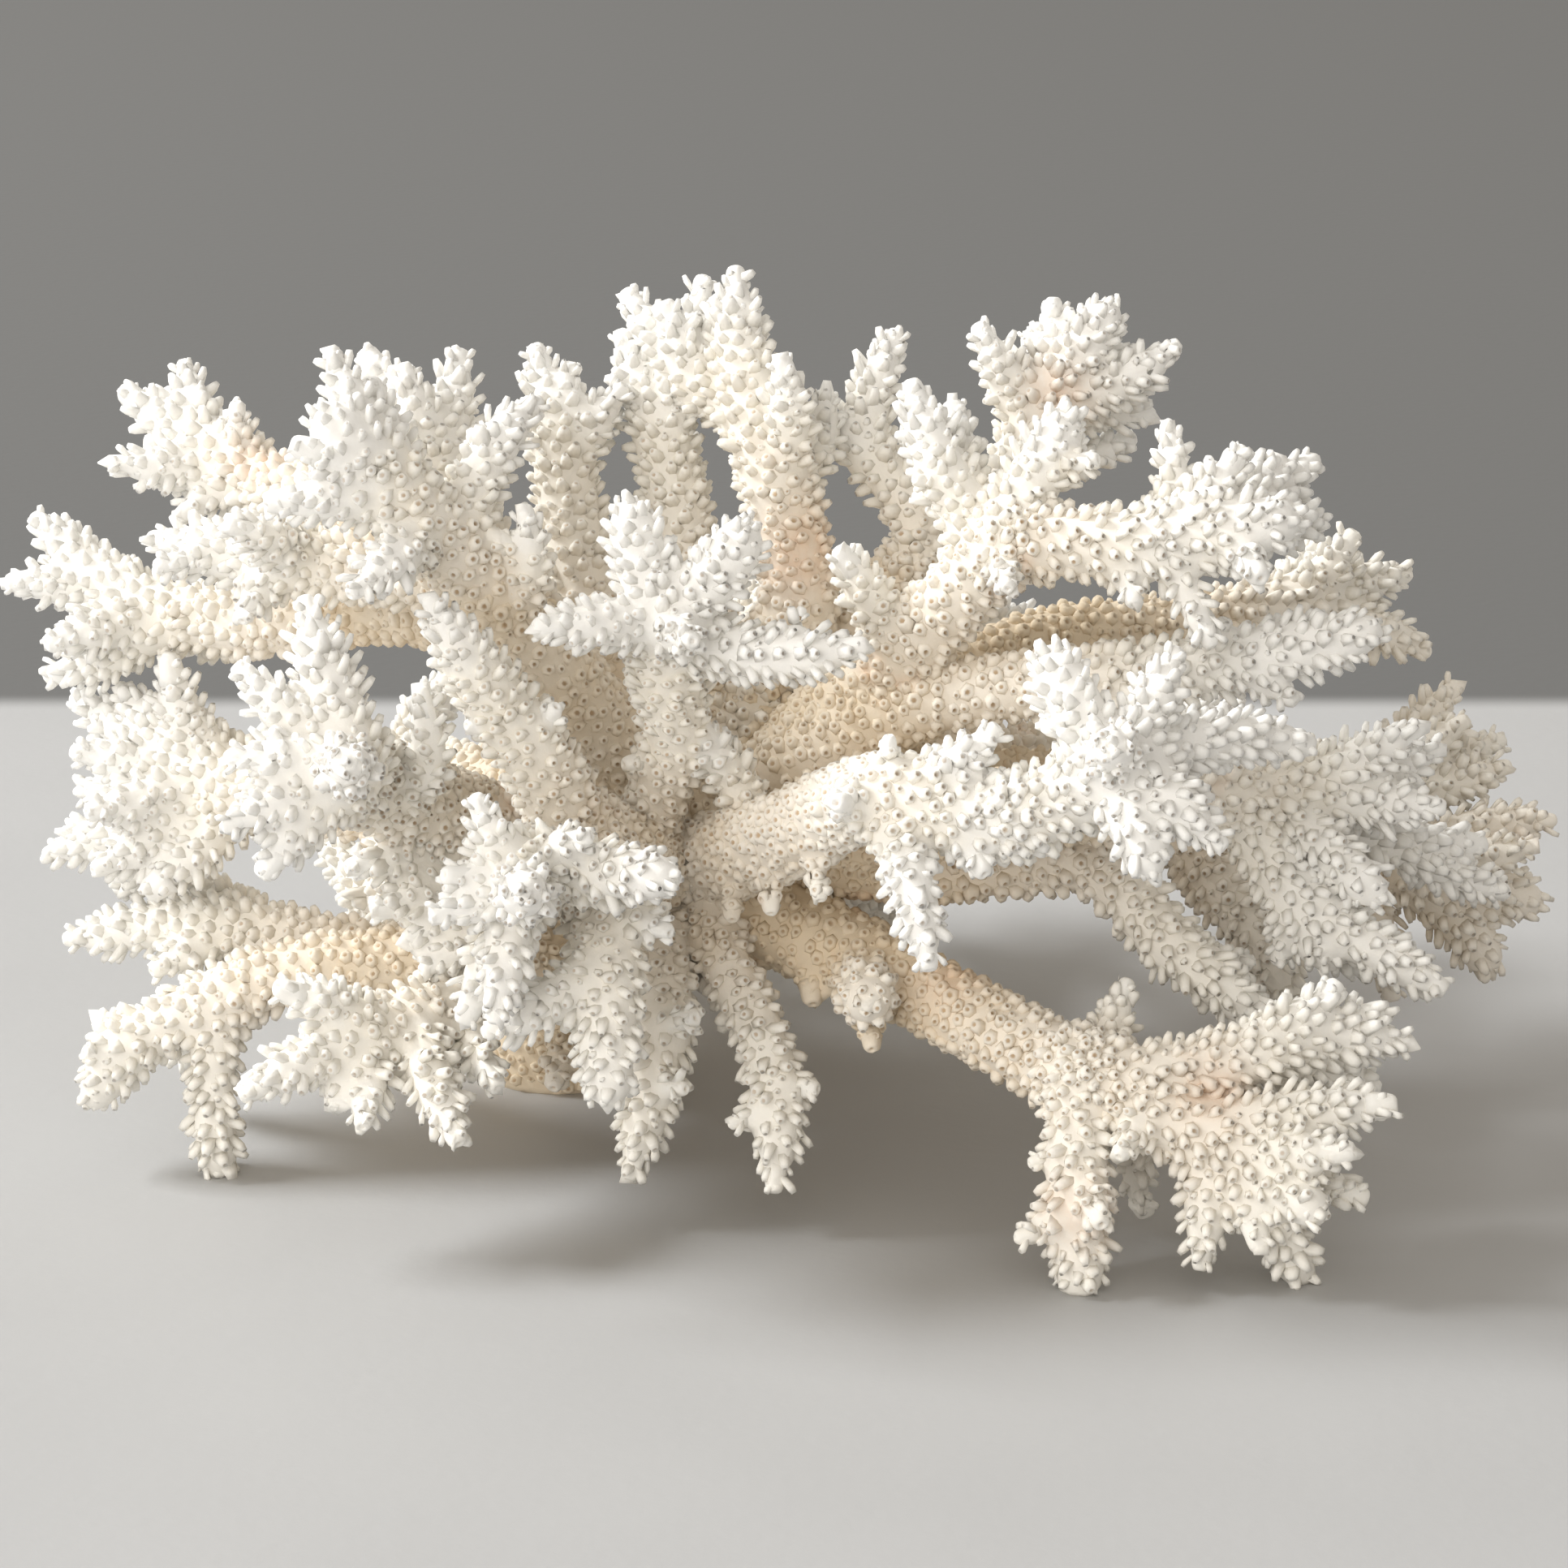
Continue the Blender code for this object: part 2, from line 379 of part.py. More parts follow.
# Limbs at the back. Places are (x, y, z, radius) in millimetres from the middle of the base cut, and fingers
# are lists of (x, y, z) or (x, y, z, radius).
BACK_LIMBS = {
    "back_left_limb": (
        [(18, -20, 40, 8.6), (2, 4, 42, 7.6), (-14, 24, 41, 6.8), (-26, 40, 38, 6.4), (-34, 50, 36, 6)],
        [[(-32, 48, 36), (-42, 55, 37), (-53, 60, 34)],
         [(-33, 49, 36), (-37, 60, 32), (-39, 73, 30)],
         [(-28, 44, 38), (-26, 56, 42), (-21, 70, 47)],
         [(-30, 46, 36), (-42, 46, 30), (-56, 45, 26)],
         [(-26, 42, 36), (-28, 46, 25), (-31, 47, 15, 3.7)]],
    ),
    "back_low_limb": (
        [(7, -7, 21, 9), (6, 10, 21, 7.4), (8, 28, 20, 6.8), (10, 44, 20, 6.4), (9, 52, 21, 5.8)],
        [[(9, 44, 18, 5.2), (12, 46, 8, 5), (12, 46, -0.5, 4.6)],
         [(8, 50, 21), (7, 60, 24), (6, 70, 27)],
         [(10, 46, 22), (18, 56, 24), (26, 66, 25)],
         [(6, 40, 20), (-3, 50, 20), (-12, 59, 18)],
         [(9, 50, 18), (12, 58, 13), (15, 65, 9, 3.7)],
         [(8, 30, 22), (16, 36, 30), (22, 44, 34, 3.8)]],
    ),
    "back_middle_limb": (
        [(23, -18, 50, 9), (24, 6, 54, 7.8), (26, 28, 56, 7), (28, 46, 56, 6.6), (30, 60, 54, 6)],
        [[(30, 58, 54), (33, 72, 53), (34, 85, 50)],
         [(29, 54, 54), (22, 66, 50), (14, 79, 46)],
         [(29, 54, 55), (40, 65, 53), (51, 77, 50)],
         [(28, 46, 58), (34, 56, 64), (39, 68, 67, 3.6)],
         [(28, 50, 52), (26, 60, 42), (24, 70, 36, 3.8)],
         [(26, 30, 58), (18, 40, 62), (12, 50, 62, 3.8)],
         [(27, 38, 55), (38, 44, 49), (46, 51, 46, 3.8)]],
    ),
    "back_right_limb": (
        [(26, -18, 46, 8.6), (44, 6, 46, 7.4), (64, 22, 44, 6.8), (84, 36, 42, 6.4), (98, 46, 40, 6)],
        [[(97, 46, 40), (107, 55, 42), (117, 62, 42)],
         [(96, 45, 39), (105, 47, 33), (113, 46, 28, 3.8)],
         [(92, 43, 40), (93, 56, 40), (92, 69, 38)],
         [(80, 34, 42), (79, 46, 38), (78, 59, 34)],
         [(97, 46, 39), (104, 56, 33), (111, 63, 28)],
         [(62, 20, 46), (60, 32, 50), (58, 42, 50, 3.8)],
         [(70, 26, 42), (68, 36, 34), (64, 46, 30, 3.8)]],
    ),
    "back_right_low_limb": (
        [(17, -15, 32, 8), (32, 6, 28, 7), (43, 24, 23, 6.6), (50, 39, 20, 6)],
        [[(49, 37, 20), (57, 48, 19), (64, 57, 18)],
         [(49, 38, 20), (48, 51, 18), (46, 63, 16)],
         [(48, 35, 20), (56, 40, 13), (62, 42, 8, 3.7)],
         [(48, 34, 19, 5), (52, 37, 9, 4.8), (53, 38, -0.5, 4.4)],
         [(40, 20, 24), (48, 22, 30), (56, 27, 33, 3.8)]],
    ),
    "back_left_low_limb": (
        [(9, -10, 24, 8), (-8, 5, 23, 6.8), (-22, 18, 22, 6.4), (-33, 29, 20, 5.8)],
        [[(-32, 28, 20), (-38, 37, 23), (-43, 45, 24)],
         [(-32, 29, 19), (-32, 38, 14), (-31, 47, 10)],
         [(-31, 26, 19), (-36, 26, 12), (-39, 25, 7, 3.7)],
         [(-20, 18, 24), (-20, 30, 27), (-16, 40, 28, 3.8)]],
    ),
    "back_upper_left_limb": (
        [(22, -16, 56, 8.4), (4, 6, 60, 7.2), (-8, 22, 63, 6.6), (-18, 35, 65, 6)],
        [[(-17, 34, 65), (-26, 43, 68), (-35, 51, 70)],
         [(-16, 33, 64), (-17, 45, 66), (-16, 56, 66)],
         [(-17, 34, 66), (-21, 38, 76), (-25, 40, 86)],
         [(-4, 18, 61), (-6, 30, 54), (-4, 42, 52, 3.8)]],
    ),
    "back_upper_right_limb": (
        [(28, -14, 58, 8.4), (42, 8, 63, 7.2), (54, 25, 65, 6.6), (62, 36, 66, 6)],
        [[(61, 36, 65), (60, 49, 63), (58, 61, 60)],
         [(61, 35, 66), (67, 37, 73), (72, 36, 81)],
         [(60, 33, 65), (72, 39, 64), (84, 45, 62)],
         [(50, 20, 66), (44, 32, 70), (40, 42, 70, 3.8)]],
    ),
}

# Colours: old growth near the trunk is tan, the limbs are cream and the youngest growth is white
OLD_TAN = (0.56, 0.44, 0.30, 1)
LIMB_CREAM = (0.80, 0.72, 0.60, 1)
YOUNG_WHITE = (0.90, 0.88, 0.84, 1)
ROUGHNESS = 0.8
TRUNK = "base_and_trunk"
YOUNG_WORDS = ("rosette", "cluster", "crown", "diagonal", "front", "foot")


def seen(across, up, nearer):
    """The place that the viewer sees so far across and up, and so much nearer than the middle."""
    spread = 1 - nearer / VIEW_DISTANCE
    return MIDDLE + TOWARD_VIEWER * nearer + (Vector((1, 0, 0)) * across + PICTURE_UP * up) * spread


def placed(points, from_view):
    """Points with three or four numbers as (place, radius), and the usual radius where none is given."""
    run = []
    last = len(points) - 1
    for i, point in enumerate(points):
        usual = FINGER_ROOT_RADIUS + (FINGER_TIP_RADIUS - FINGER_ROOT_RADIUS) * i / last
        radius = point[3] if len(point) == 4 else usual
        place = seen(*point[:3]) if from_view else Vector(point[:3])
        run.append((place, radius))
    return run


def smooth_run(run):
    """The run with points added on a curve that passes through the ones it has."""
    out = []
    for i in range(len(run) - 1):
        before = run[max(i - 1, 0)][0]
        start, start_radius = run[i]
        end, end_radius = run[i + 1]
        after = run[min(i + 2, len(run) - 1)][0]
        steps = max(1, round((end - start).length / STEP_ALONG))
        for k in range(steps):
            t = k / steps
            bend = (before - 2.5 * start + 2 * end - 0.5 * after) * t * t
            twist = (1.5 * start - 1.5 * end + 0.5 * after - 0.5 * before) * t * t * t
            place = start + (end - before) * 0.5 * t + bend + twist
            out.append((place, start_radius + (end_radius - start_radius) * t))
    out.append(run[-1])
    return out


def evaluated_mesh(obj):
    graph = bpy.context.evaluated_depsgraph_get()
    return bpy.data.meshes.new_from_object(obj.evaluated_get(graph))


def branch_mesh(run):
    """One branch: a bevelled curve whose width follows the run, with a blunt, narrowed tip."""
    curve = bpy.data.curves.new("branch", "CURVE")
    curve.dimensions = "3D"
    curve.bevel_depth = MM
    curve.bevel_resolution = 2
    curve.use_fill_caps = True
    spline = curve.splines.new("POLY")
    points = smooth_run(run)
    end, end_radius = points[-1]
    inner = end + (points[-2][0] - end).normalized() * end_radius * BLUNT_LENGTH
    points[-1:] = [(inner, end_radius), (end, end_radius * BLUNT_END)]
    spline.points.add(len(points) - 1)
    for knot, (place, radius) in zip(spline.points, points):
        knot.co = (*(place * MM), 1)
        knot.radius = radius
    obj = bpy.data.objects.new("branch", curve)
    bpy.context.scene.collection.objects.link(obj)
    mesh = evaluated_mesh(obj)
    bpy.data.objects.remove(obj)
    bpy.data.curves.remove(curve)
    return mesh


def knob_texture():
    texture = bpy.data.textures.new("knobs", "VORONOI")
    texture.noise_scale = KNOB_SPACING * MM
    return texture


def triangle_count(mesh):
    return sum(len(face.vertices) - 2 for face in mesh.polygons)


def grown_mesh(name, runs, knobs):
    """All branches of one limb, grown together into one skin, made coarse and roughened with knobs."""
    gathered = bmesh.new()
    for run in runs:
        mesh = branch_mesh(run)
        gathered.from_mesh(mesh)
        bpy.data.meshes.remove(mesh)
    bmesh.ops.remove_doubles(gathered, verts=gathered.verts, dist=WELD_DISTANCE * MM)
    mesh = bpy.data.meshes.new(name)
    gathered.to_mesh(mesh)
    gathered.free()
    obj = bpy.data.objects.new(name, mesh)
    bpy.context.scene.collection.objects.link(obj)
    skin = obj.modifiers.new("grown_together", "REMESH")
    skin.mode = "VOXEL"
    skin.voxel_size = SURFACE_GRAIN * MM
    dense = evaluated_mesh(obj)
    area = sum(face.area for face in dense.polygons) / MM**2
    coarse = obj.modifiers.new("coarse", "DECIMATE")
    coarse.ratio = min(1, area / AREA_PER_TRIANGLE / triangle_count(dense))
    knobbly = obj.modifiers.new("knobs", "DISPLACE")
    knobbly.texture = knobs
    knobbly.texture_coords = "GLOBAL"
    knobbly.strength = KNOB_HEIGHT * MM
    knobbly.mid_level = KNOB_MIDDLE
    bpy.data.meshes.remove(dense)
    grown = evaluated_mesh(obj)
    bpy.data.objects.remove(obj)
    bpy.data.meshes.remove(mesh)
    return grown


def cut_flat(mesh):
    """Everything below the floor is cut off flat."""
    shape = bmesh.new()
    shape.from_mesh(mesh)
    if min(v.co.z for v in shape.verts) < 0:
        geometry = shape.verts[:] + shape.edges[:] + shape.faces[:]
        cut = bmesh.ops.bisect_plane(
            shape, geom=geometry, dist=ON_THE_FLOOR * MM, plane_co=(0, 0, 0), plane_no=(0, 0, 1),
            clear_inner=True,
        )
        edges = [e for e in cut["geom_cut"] if isinstance(e, bmesh.types.BMEdge)]
        bmesh.ops.contextual_create(shape, geom=edges)
    bmesh.ops.triangulate(shape, faces=shape.faces)
    bmesh.ops.recalc_face_normals(shape, faces=shape.faces)
    shape.to_mesh(mesh)
    shape.free()


def keep_largest_body(mesh):
    """Bits that a cut has parted from the limb are taken away, and the rest is left as plain triangles."""
    shape = bmesh.new()
    shape.from_mesh(mesh)
    shape.verts.ensure_lookup_table()
    body_of = [-1] * len(shape.verts)
    sizes = []
    for start in range(len(shape.verts)):
        if body_of[start] >= 0:
            continue
        body_of[start] = len(sizes)
        edge = [start]
        size = 0
        while edge:
            vert = shape.verts[edge.pop()]
            size += 1
            for link in vert.link_edges:
                other = link.other_vert(vert).index
                if body_of[other] < 0:
                    body_of[other] = len(sizes)
                    edge.append(other)
        sizes.append(size)
    kept = sizes.index(max(sizes))
    extra = [v for v in shape.verts if body_of[v.index] != kept]
    bmesh.ops.delete(shape, geom=extra, context="VERTS")
    bmesh.ops.triangulate(shape, faces=shape.faces)
    shape.to_mesh(mesh)
    shape.free()


def merge_slivers(obj, wanted):
    """The slivers that the cuts left are merged away, and no point that this moves goes under the floor."""
    merge = obj.modifiers.new("merge_slivers", "DECIMATE")
    merge.ratio = min(1, wanted / triangle_count(obj.data))
    mesh = evaluated_mesh(obj)
    for vert in mesh.vertices:
        vert.co.z = max(vert.co.z, 0)
    obj.modifiers.clear()
    obj.data = mesh


def room_for(name, mesh):
    """A helper a joint gap fatter than the limb as it grew, which cuts the limbs that grow from it."""
    room = bpy.data.objects.new(name + "_room", mesh.copy())
    room.hide_render = True
    room.display_type = "WIRE"
    shape = bmesh.new()
    shape.from_mesh(room.data)
    for vert in shape.verts:
        vert.co += vert.normal * min(vert.calc_shell_factor(), MOST_STRETCH) * JOINT_GAP * MM
    shape.to_mesh(room.data)
    shape.free()
    return room


def box_of(mesh):
    corners = [v.co for v in mesh.vertices]
    low = Vector([min(c[i] for c in corners) for i in range(3)])
    high = Vector([max(c[i] for c in corners) for i in range(3)])
    return low, high


def boxes_meet(one, other):
    return all(one[0][i] < other[1][i] and other[0][i] < one[1][i] for i in range(3))


def limb_material(name):
    """The limb's own finish: tan for the trunk, cream for limbs, white for the young clusters."""
    colour = LIMB_CREAM
    if name == TRUNK or name.startswith("brown"):
        colour = OLD_TAN
    elif any(word in name for word in YOUNG_WORDS):
        colour = YOUNG_WHITE
    material = bpy.data.materials.new(name)
    material.use_nodes = True
    shader = material.node_tree.nodes["Principled BSDF"]
    shader.inputs["Base Color"].default_value = colour
    shader.inputs["Roughness"].default_value = ROUGHNESS
    shader.inputs["Metallic"].default_value = 0.0
    return material


def cut_away(obj, cutters):
    """Takes the cutters that the limb meets out of it, and then whatever they parted from it."""
    box = box_of(obj.data)
    for cutter in cutters:
        if not boxes_meet(box, box_of(cutter.data)):
            continue
        cut = obj.modifiers.new("clear_of_" + cutter.name, "BOOLEAN")
        cut.operation = "DIFFERENCE"
        cut.solver = "MANIFOLD"
        cut.object = cutter
        mesh = evaluated_mesh(obj)
        obj.modifiers.clear()
        obj.data = mesh
    keep_largest_body(obj.data)


def grow_limb(name, path, fingers, from_view, knobs, parts, helpers):
    """One limb with its fingers, cut clear of the limbs that were grown before it."""
    runs = [placed(points, from_view) for points in [path, *fingers]]
    mesh = grown_mesh(name, runs, knobs)
    cut_flat(mesh)
    wanted = triangle_count(mesh) * CUT_ALLOWANCE
    earlier_limbs = list(parts.objects)
    rooms = list(helpers.objects)
    obj = bpy.data.objects.new(name, mesh)
    parts.objects.link(obj)
    helpers.objects.link(room_for(name, mesh))
    cut_away(obj, rooms)
    merge_slivers(obj, wanted)
    cut_away(obj, earlier_limbs)
    obj.data.name = name
    obj.data.materials.clear()
    obj.data.materials.append(limb_material(name))
    obj.data.shade_smooth()
    obj.data.set_sharp_from_angle(angle=SHARP_ANGLE)


def main():
    for obj in list(bpy.data.objects):
        bpy.data.objects.remove(obj)
    parts = bpy.data.collections.new("branching_coral")
    helpers = bpy.data.collections.new("room_for_joints")
    helpers.hide_render = True
    bpy.context.scene.collection.children.link(parts)
    bpy.context.scene.collection.children.link(helpers)
    knobs = knob_texture()
    for table, from_view in ((SEEN_LIMBS, True), (BACK_LIMBS, False)):
        for name, (path, fingers) in table.items():
            grow_limb(name, path, fingers, from_view, knobs, parts, helpers)


main()
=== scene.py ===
# %% [markdown]
# # A branching coral, corallite by corallite
# The real thing is the bleached skeleton of a staghorn coral. It was cut from its rock, so it stands on a flat
# cut. A short trunk forks into limbs, each limb ends in a rosette of short fingers, and thousands of little
# cups, the corallites, cover every branch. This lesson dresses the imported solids: first a smooth skin for each
# limb, then the cups on that skin, and then one chalky finish that goes from white tips to a tan heart.

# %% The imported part
import math

import bmesh
import bpy
import numpy as np
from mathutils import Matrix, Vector


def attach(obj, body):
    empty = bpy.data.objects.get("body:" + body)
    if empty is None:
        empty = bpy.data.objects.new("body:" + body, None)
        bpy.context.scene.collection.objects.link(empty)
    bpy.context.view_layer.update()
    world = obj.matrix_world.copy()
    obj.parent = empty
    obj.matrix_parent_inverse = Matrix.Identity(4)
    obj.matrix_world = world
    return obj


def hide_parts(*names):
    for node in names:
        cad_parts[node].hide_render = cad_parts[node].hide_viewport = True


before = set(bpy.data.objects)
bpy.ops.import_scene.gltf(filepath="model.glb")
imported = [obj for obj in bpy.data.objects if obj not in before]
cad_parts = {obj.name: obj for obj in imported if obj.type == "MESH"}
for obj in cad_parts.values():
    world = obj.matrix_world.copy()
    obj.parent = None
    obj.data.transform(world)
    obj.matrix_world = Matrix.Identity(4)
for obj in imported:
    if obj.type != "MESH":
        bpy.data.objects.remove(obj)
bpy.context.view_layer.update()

# %% [markdown]
# ## The viewer
# The places along the branches are written the way the colony is seen: how far across, how far up and how much
# nearer than its middle, in millimetres. The viewer's line of sight dips by 18 degrees and starts 700 mm away,
# so one formula turns what is seen into a place, and the camera stands where that formula says.

# %% The viewer's axes and the camera
MM = 0.001
VIEW_TILT = math.radians(18)
VIEW_DISTANCE = 700.0
FRAME_WIDTH = 241.5
SENSOR_WIDTH = 36.0
MIDDLE = np.array([37.0, -35.0, 60.0])
TOWARD_VIEWER = np.array([0, -math.cos(VIEW_TILT), math.sin(VIEW_TILT)])
PICTURE_UP = np.array([0, math.sin(VIEW_TILT), math.cos(VIEW_TILT)])
ACROSS = np.array([1.0, 0, 0])


def seen(points):
    """Rows of (across, up, nearer) as places: middle + toward*nearer + (1 - nearer/distance)*(across, up)."""
    across, up, nearer = np.asarray(points, float).T[:, :, None]
    return MIDDLE + TOWARD_VIEWER * nearer + (ACROSS * across + PICTURE_UP * up) * (1 - nearer / VIEW_DISTANCE)


camera_data = bpy.data.cameras.new("viewer")
camera_data.sensor_width = SENSOR_WIDTH
camera_data.lens = SENSOR_WIDTH * VIEW_DISTANCE / FRAME_WIDTH
camera = bpy.data.objects.new("viewer", camera_data)
camera.location = (MIDDLE + TOWARD_VIEWER * VIEW_DISTANCE) * MM
camera.rotation_euler = (math.pi / 2 - VIEW_TILT, 0, 0)
bpy.context.scene.collection.objects.link(camera)
bpy.context.scene.camera = camera
print(f"camera at {tuple(round(x, 3) for x in camera.location)}, lens {camera_data.lens:.1f} mm")

# %% [markdown]
# ## Nodes written as arithmetic
# A finish is a formula, so it reads best as one. `Wire` wraps the socket that a value comes out of and gives
# it Python's operators, and every other node comes from one method of `Finish`.


# %% Wires and finishes
class Wire:
    """A value in a node tree. Adding, multiplying and so on put Math nodes into the tree."""

    def __init__(self, finish, socket):
        self.finish, self.socket = finish, socket

    def math(self, operation, first, second=0.0):
        made = self.finish.node("ShaderNodeMath", {"operation": operation}, {0: first, 1: second})
        return made.out(0)

    def __add__(self, other):
        return self.math("ADD", self, other)

    def __sub__(self, other):
        return self.math("SUBTRACT", self, other)

    def __rsub__(self, other):
        return self.math("SUBTRACT", other, self)

    def __mul__(self, other):
        return self.math("MULTIPLY", self, other)

    __radd__, __rmul__ = __add__, __mul__

    def above(self, low, high):
        """0 up to low, 1 from high on, and a smooth rise between them."""
        limits = {"Value": self, "From Min": low, "From Max": high}
        return self.finish.node("ShaderNodeMapRange", {"interpolation_type": "SMOOTHSTEP"}, limits).out(0)


class Made:
    """A node, with its outputs as wires."""

    def __init__(self, finish, node):
        self.finish, self.node = finish, node

    def out(self, key):
        return Wire(self.finish, self.node.outputs[key])


class Finish:
    """A material whose nodes all come from one method."""

    def __init__(self, name):
        self.material = bpy.data.materials.new(name)
        self.material.use_nodes = True
        self.tree = self.material.node_tree
        self.tree.nodes.clear()

    def node(self, kind, settings=None, inputs=None):
        """One node: first its settings, among them a ramp's stops, then the values or wires of its sockets."""
        node = self.tree.nodes.new(kind)
        for key, value in (settings or {}).items():
            if key == "stops":
                elements = node.color_ramp.elements
                for _ in value[2:]:
                    elements.new(0.5)
                for element, (place, colour) in zip(elements, value):
                    element.position, element.color = place, (*colour, 1)
            else:
                setattr(node, key, value)
        for key, value in (inputs or {}).items():
            if isinstance(value, Wire):
                self.tree.links.new(value.socket, node.inputs[key])
            else:
                node.inputs[key].default_value = value
        return Made(self, node)

    def mix(self, factor, first, second):
        """A colour that goes from the first to the second as the factor rises."""
        return self.node("ShaderNodeMix", {"data_type": "RGBA"}, {0: factor, 6: first, 7: second}).out(2)

    def noise(self, place, size, detail=2.0):
        """Cloudy noise from 0 to 1, with blotches about this many millimetres across."""
        inputs = {"Vector": place, "Scale": 1 / (size * MM), "Detail": detail}
        return self.node("ShaderNodeTexNoise", {}, inputs).out(0)

    def surface(self, inputs):
        """The principled shader with these values and wires, as the material's surface."""
        shader = self.node("ShaderNodeBsdfPrincipled", {}, inputs)
        self.node("ShaderNodeOutputMaterial", {}, {"Surface": shader.out(0)})
        return self.material


print("wires, nodes and finishes are ready")

# %% [markdown]
# ## The table it stands on
# A pale table top with a soft grey wall behind it. The wall is only a darker band of the floor, past a line
# behind the coral, so that it never stands in the way when the coral is looked at from the back.

# %% Floor
FLOOR_SIZE = 6.0
WALL_LINE, WALL_SOFTNESS = 0.205, 0.006
PATCH_SIZE, SPECK_SIZE = 60.0, 3.0
PALE_FLOOR = (0.62, 0.62, 0.62, 1)
DULL_FLOOR = (0.558, 0.558, 0.558, 1)
GREY_WALL = (0.18, 0.18, 0.178, 1)


def floor_finish():
    """Pale plaster, a little uneven, that turns into the wall's grey past a soft line."""
    finish = Finish("pale_table_top")
    place = finish.node("ShaderNodeTexCoord").out("Object")
    to_back = finish.node("ShaderNodeSeparateXYZ", {}, {0: place}).out(1)
    behind = to_back.above(WALL_LINE - WALL_SOFTNESS, WALL_LINE + WALL_SOFTNESS)
    pale = finish.mix(finish.noise(place, PATCH_SIZE), PALE_FLOOR, DULL_FLOOR)
    colour = finish.mix(behind, pale, GREY_WALL)
    specks = finish.noise(place, SPECK_SIZE, 4.0)
    bump = finish.node("ShaderNodeBump", {}, {"Height": specks, "Distance": 0.0002, "Strength": 0.4})
    return finish.surface({"Base Color": colour, "Roughness": 0.6, "Normal": bump.out(0)})


floor_mesh = bpy.data.meshes.new("floor")
half = FLOOR_SIZE / 2
corners = [(-half, -half, 0), (half, -half, 0), (half, half, 0), (-half, half, 0)]
floor_mesh.from_pydata(corners, [], [(0, 1, 2, 3)])
floor_mesh.materials.append(floor_finish())
floor = bpy.data.objects.new("floor", floor_mesh)
bpy.context.scene.collection.objects.link(floor)
print(f"floor of {FLOOR_SIZE} m, with the wall's grey from y = {WALL_LINE} m")

# %% [markdown]
# ## Soft light
# The light is that of a big window at the left, above and a little behind. Real coral is also lit from within,
# because light soaks through the chalk. Two large lamps, before and behind it, that shine on the coral alone
# stand in for that, and the floor keeps its dark, warm shadow. Colours are shown plainly: white stays white.


# %% Lights and sky
def soft_light(name, place, size, power, colour, only=None):
    """A square lamp at a place in metres that faces the coral's middle, and may light one collection only."""
    data = bpy.data.lights.new(name, "AREA")
    data.shape = "SQUARE"
    data.size, data.energy, data.color = size, power, colour
    lamp = bpy.data.objects.new(name, data)
    lamp.location = place
    facing = Vector(MIDDLE * MM) - Vector(place)
    lamp.rotation_euler = facing.to_track_quat("-Z", "Y").to_euler()
    lamp.light_linking.receiver_collection = only
    bpy.context.scene.collection.objects.link(lamp)


coral_pieces = bpy.data.collections.new("coral_pieces")
bpy.context.scene.collection.children.link(coral_pieces)
soft_light("window", (-2.8, 0.5, 2.4), 1.3, 126.0, (0.965, 0.985, 1.0))
soft_light("front_glow", (-0.9, -1.4, 0.7), 1.8, 23.0, (1.0, 0.975, 0.94), coral_pieces)
soft_light("back_glow", (0.6, 1.5, 0.8), 2.0, 6.0, (1.0, 0.96, 0.9), coral_pieces)
world = bpy.data.worlds.new("pale_sky")
world.use_nodes = True
sky = world.node_tree.nodes["Background"]
sky.inputs["Color"].default_value = (1.0, 0.94, 0.855, 1)
sky.inputs["Strength"].default_value = 0.5
bpy.context.scene.world = world
bpy.context.scene.view_settings.view_transform = "Standard"
print("window, two lamps for the coral alone, and sky")

# %% [markdown]
# ## Where the branches run
# Every limb is a path with fingers on it, marked point by point: places seen from the front, and plain x, y and
# z for the limbs at the back. Two tables hold them. A limb's name stands alone, and below it each branch has its
# own line, first the limb's path and then its fingers. Commas part the points. A point is three numbers, and
# then a radius, up to the cups' tips, where it isn't the usual one.


# %% The limbs seen from the front
def marked(table):
    """Each limb's name, with the rows of its path and its fingers. A line that ends with a comma runs on."""
    found = {}
    for line in table.replace(",\n", ",").strip().splitlines():
        if line.startswith(" "):
            found[name].append([[float(number) for number in point.split()] for point in line.split(",")])
        else:
            name = line
            found[name] = []
    return found


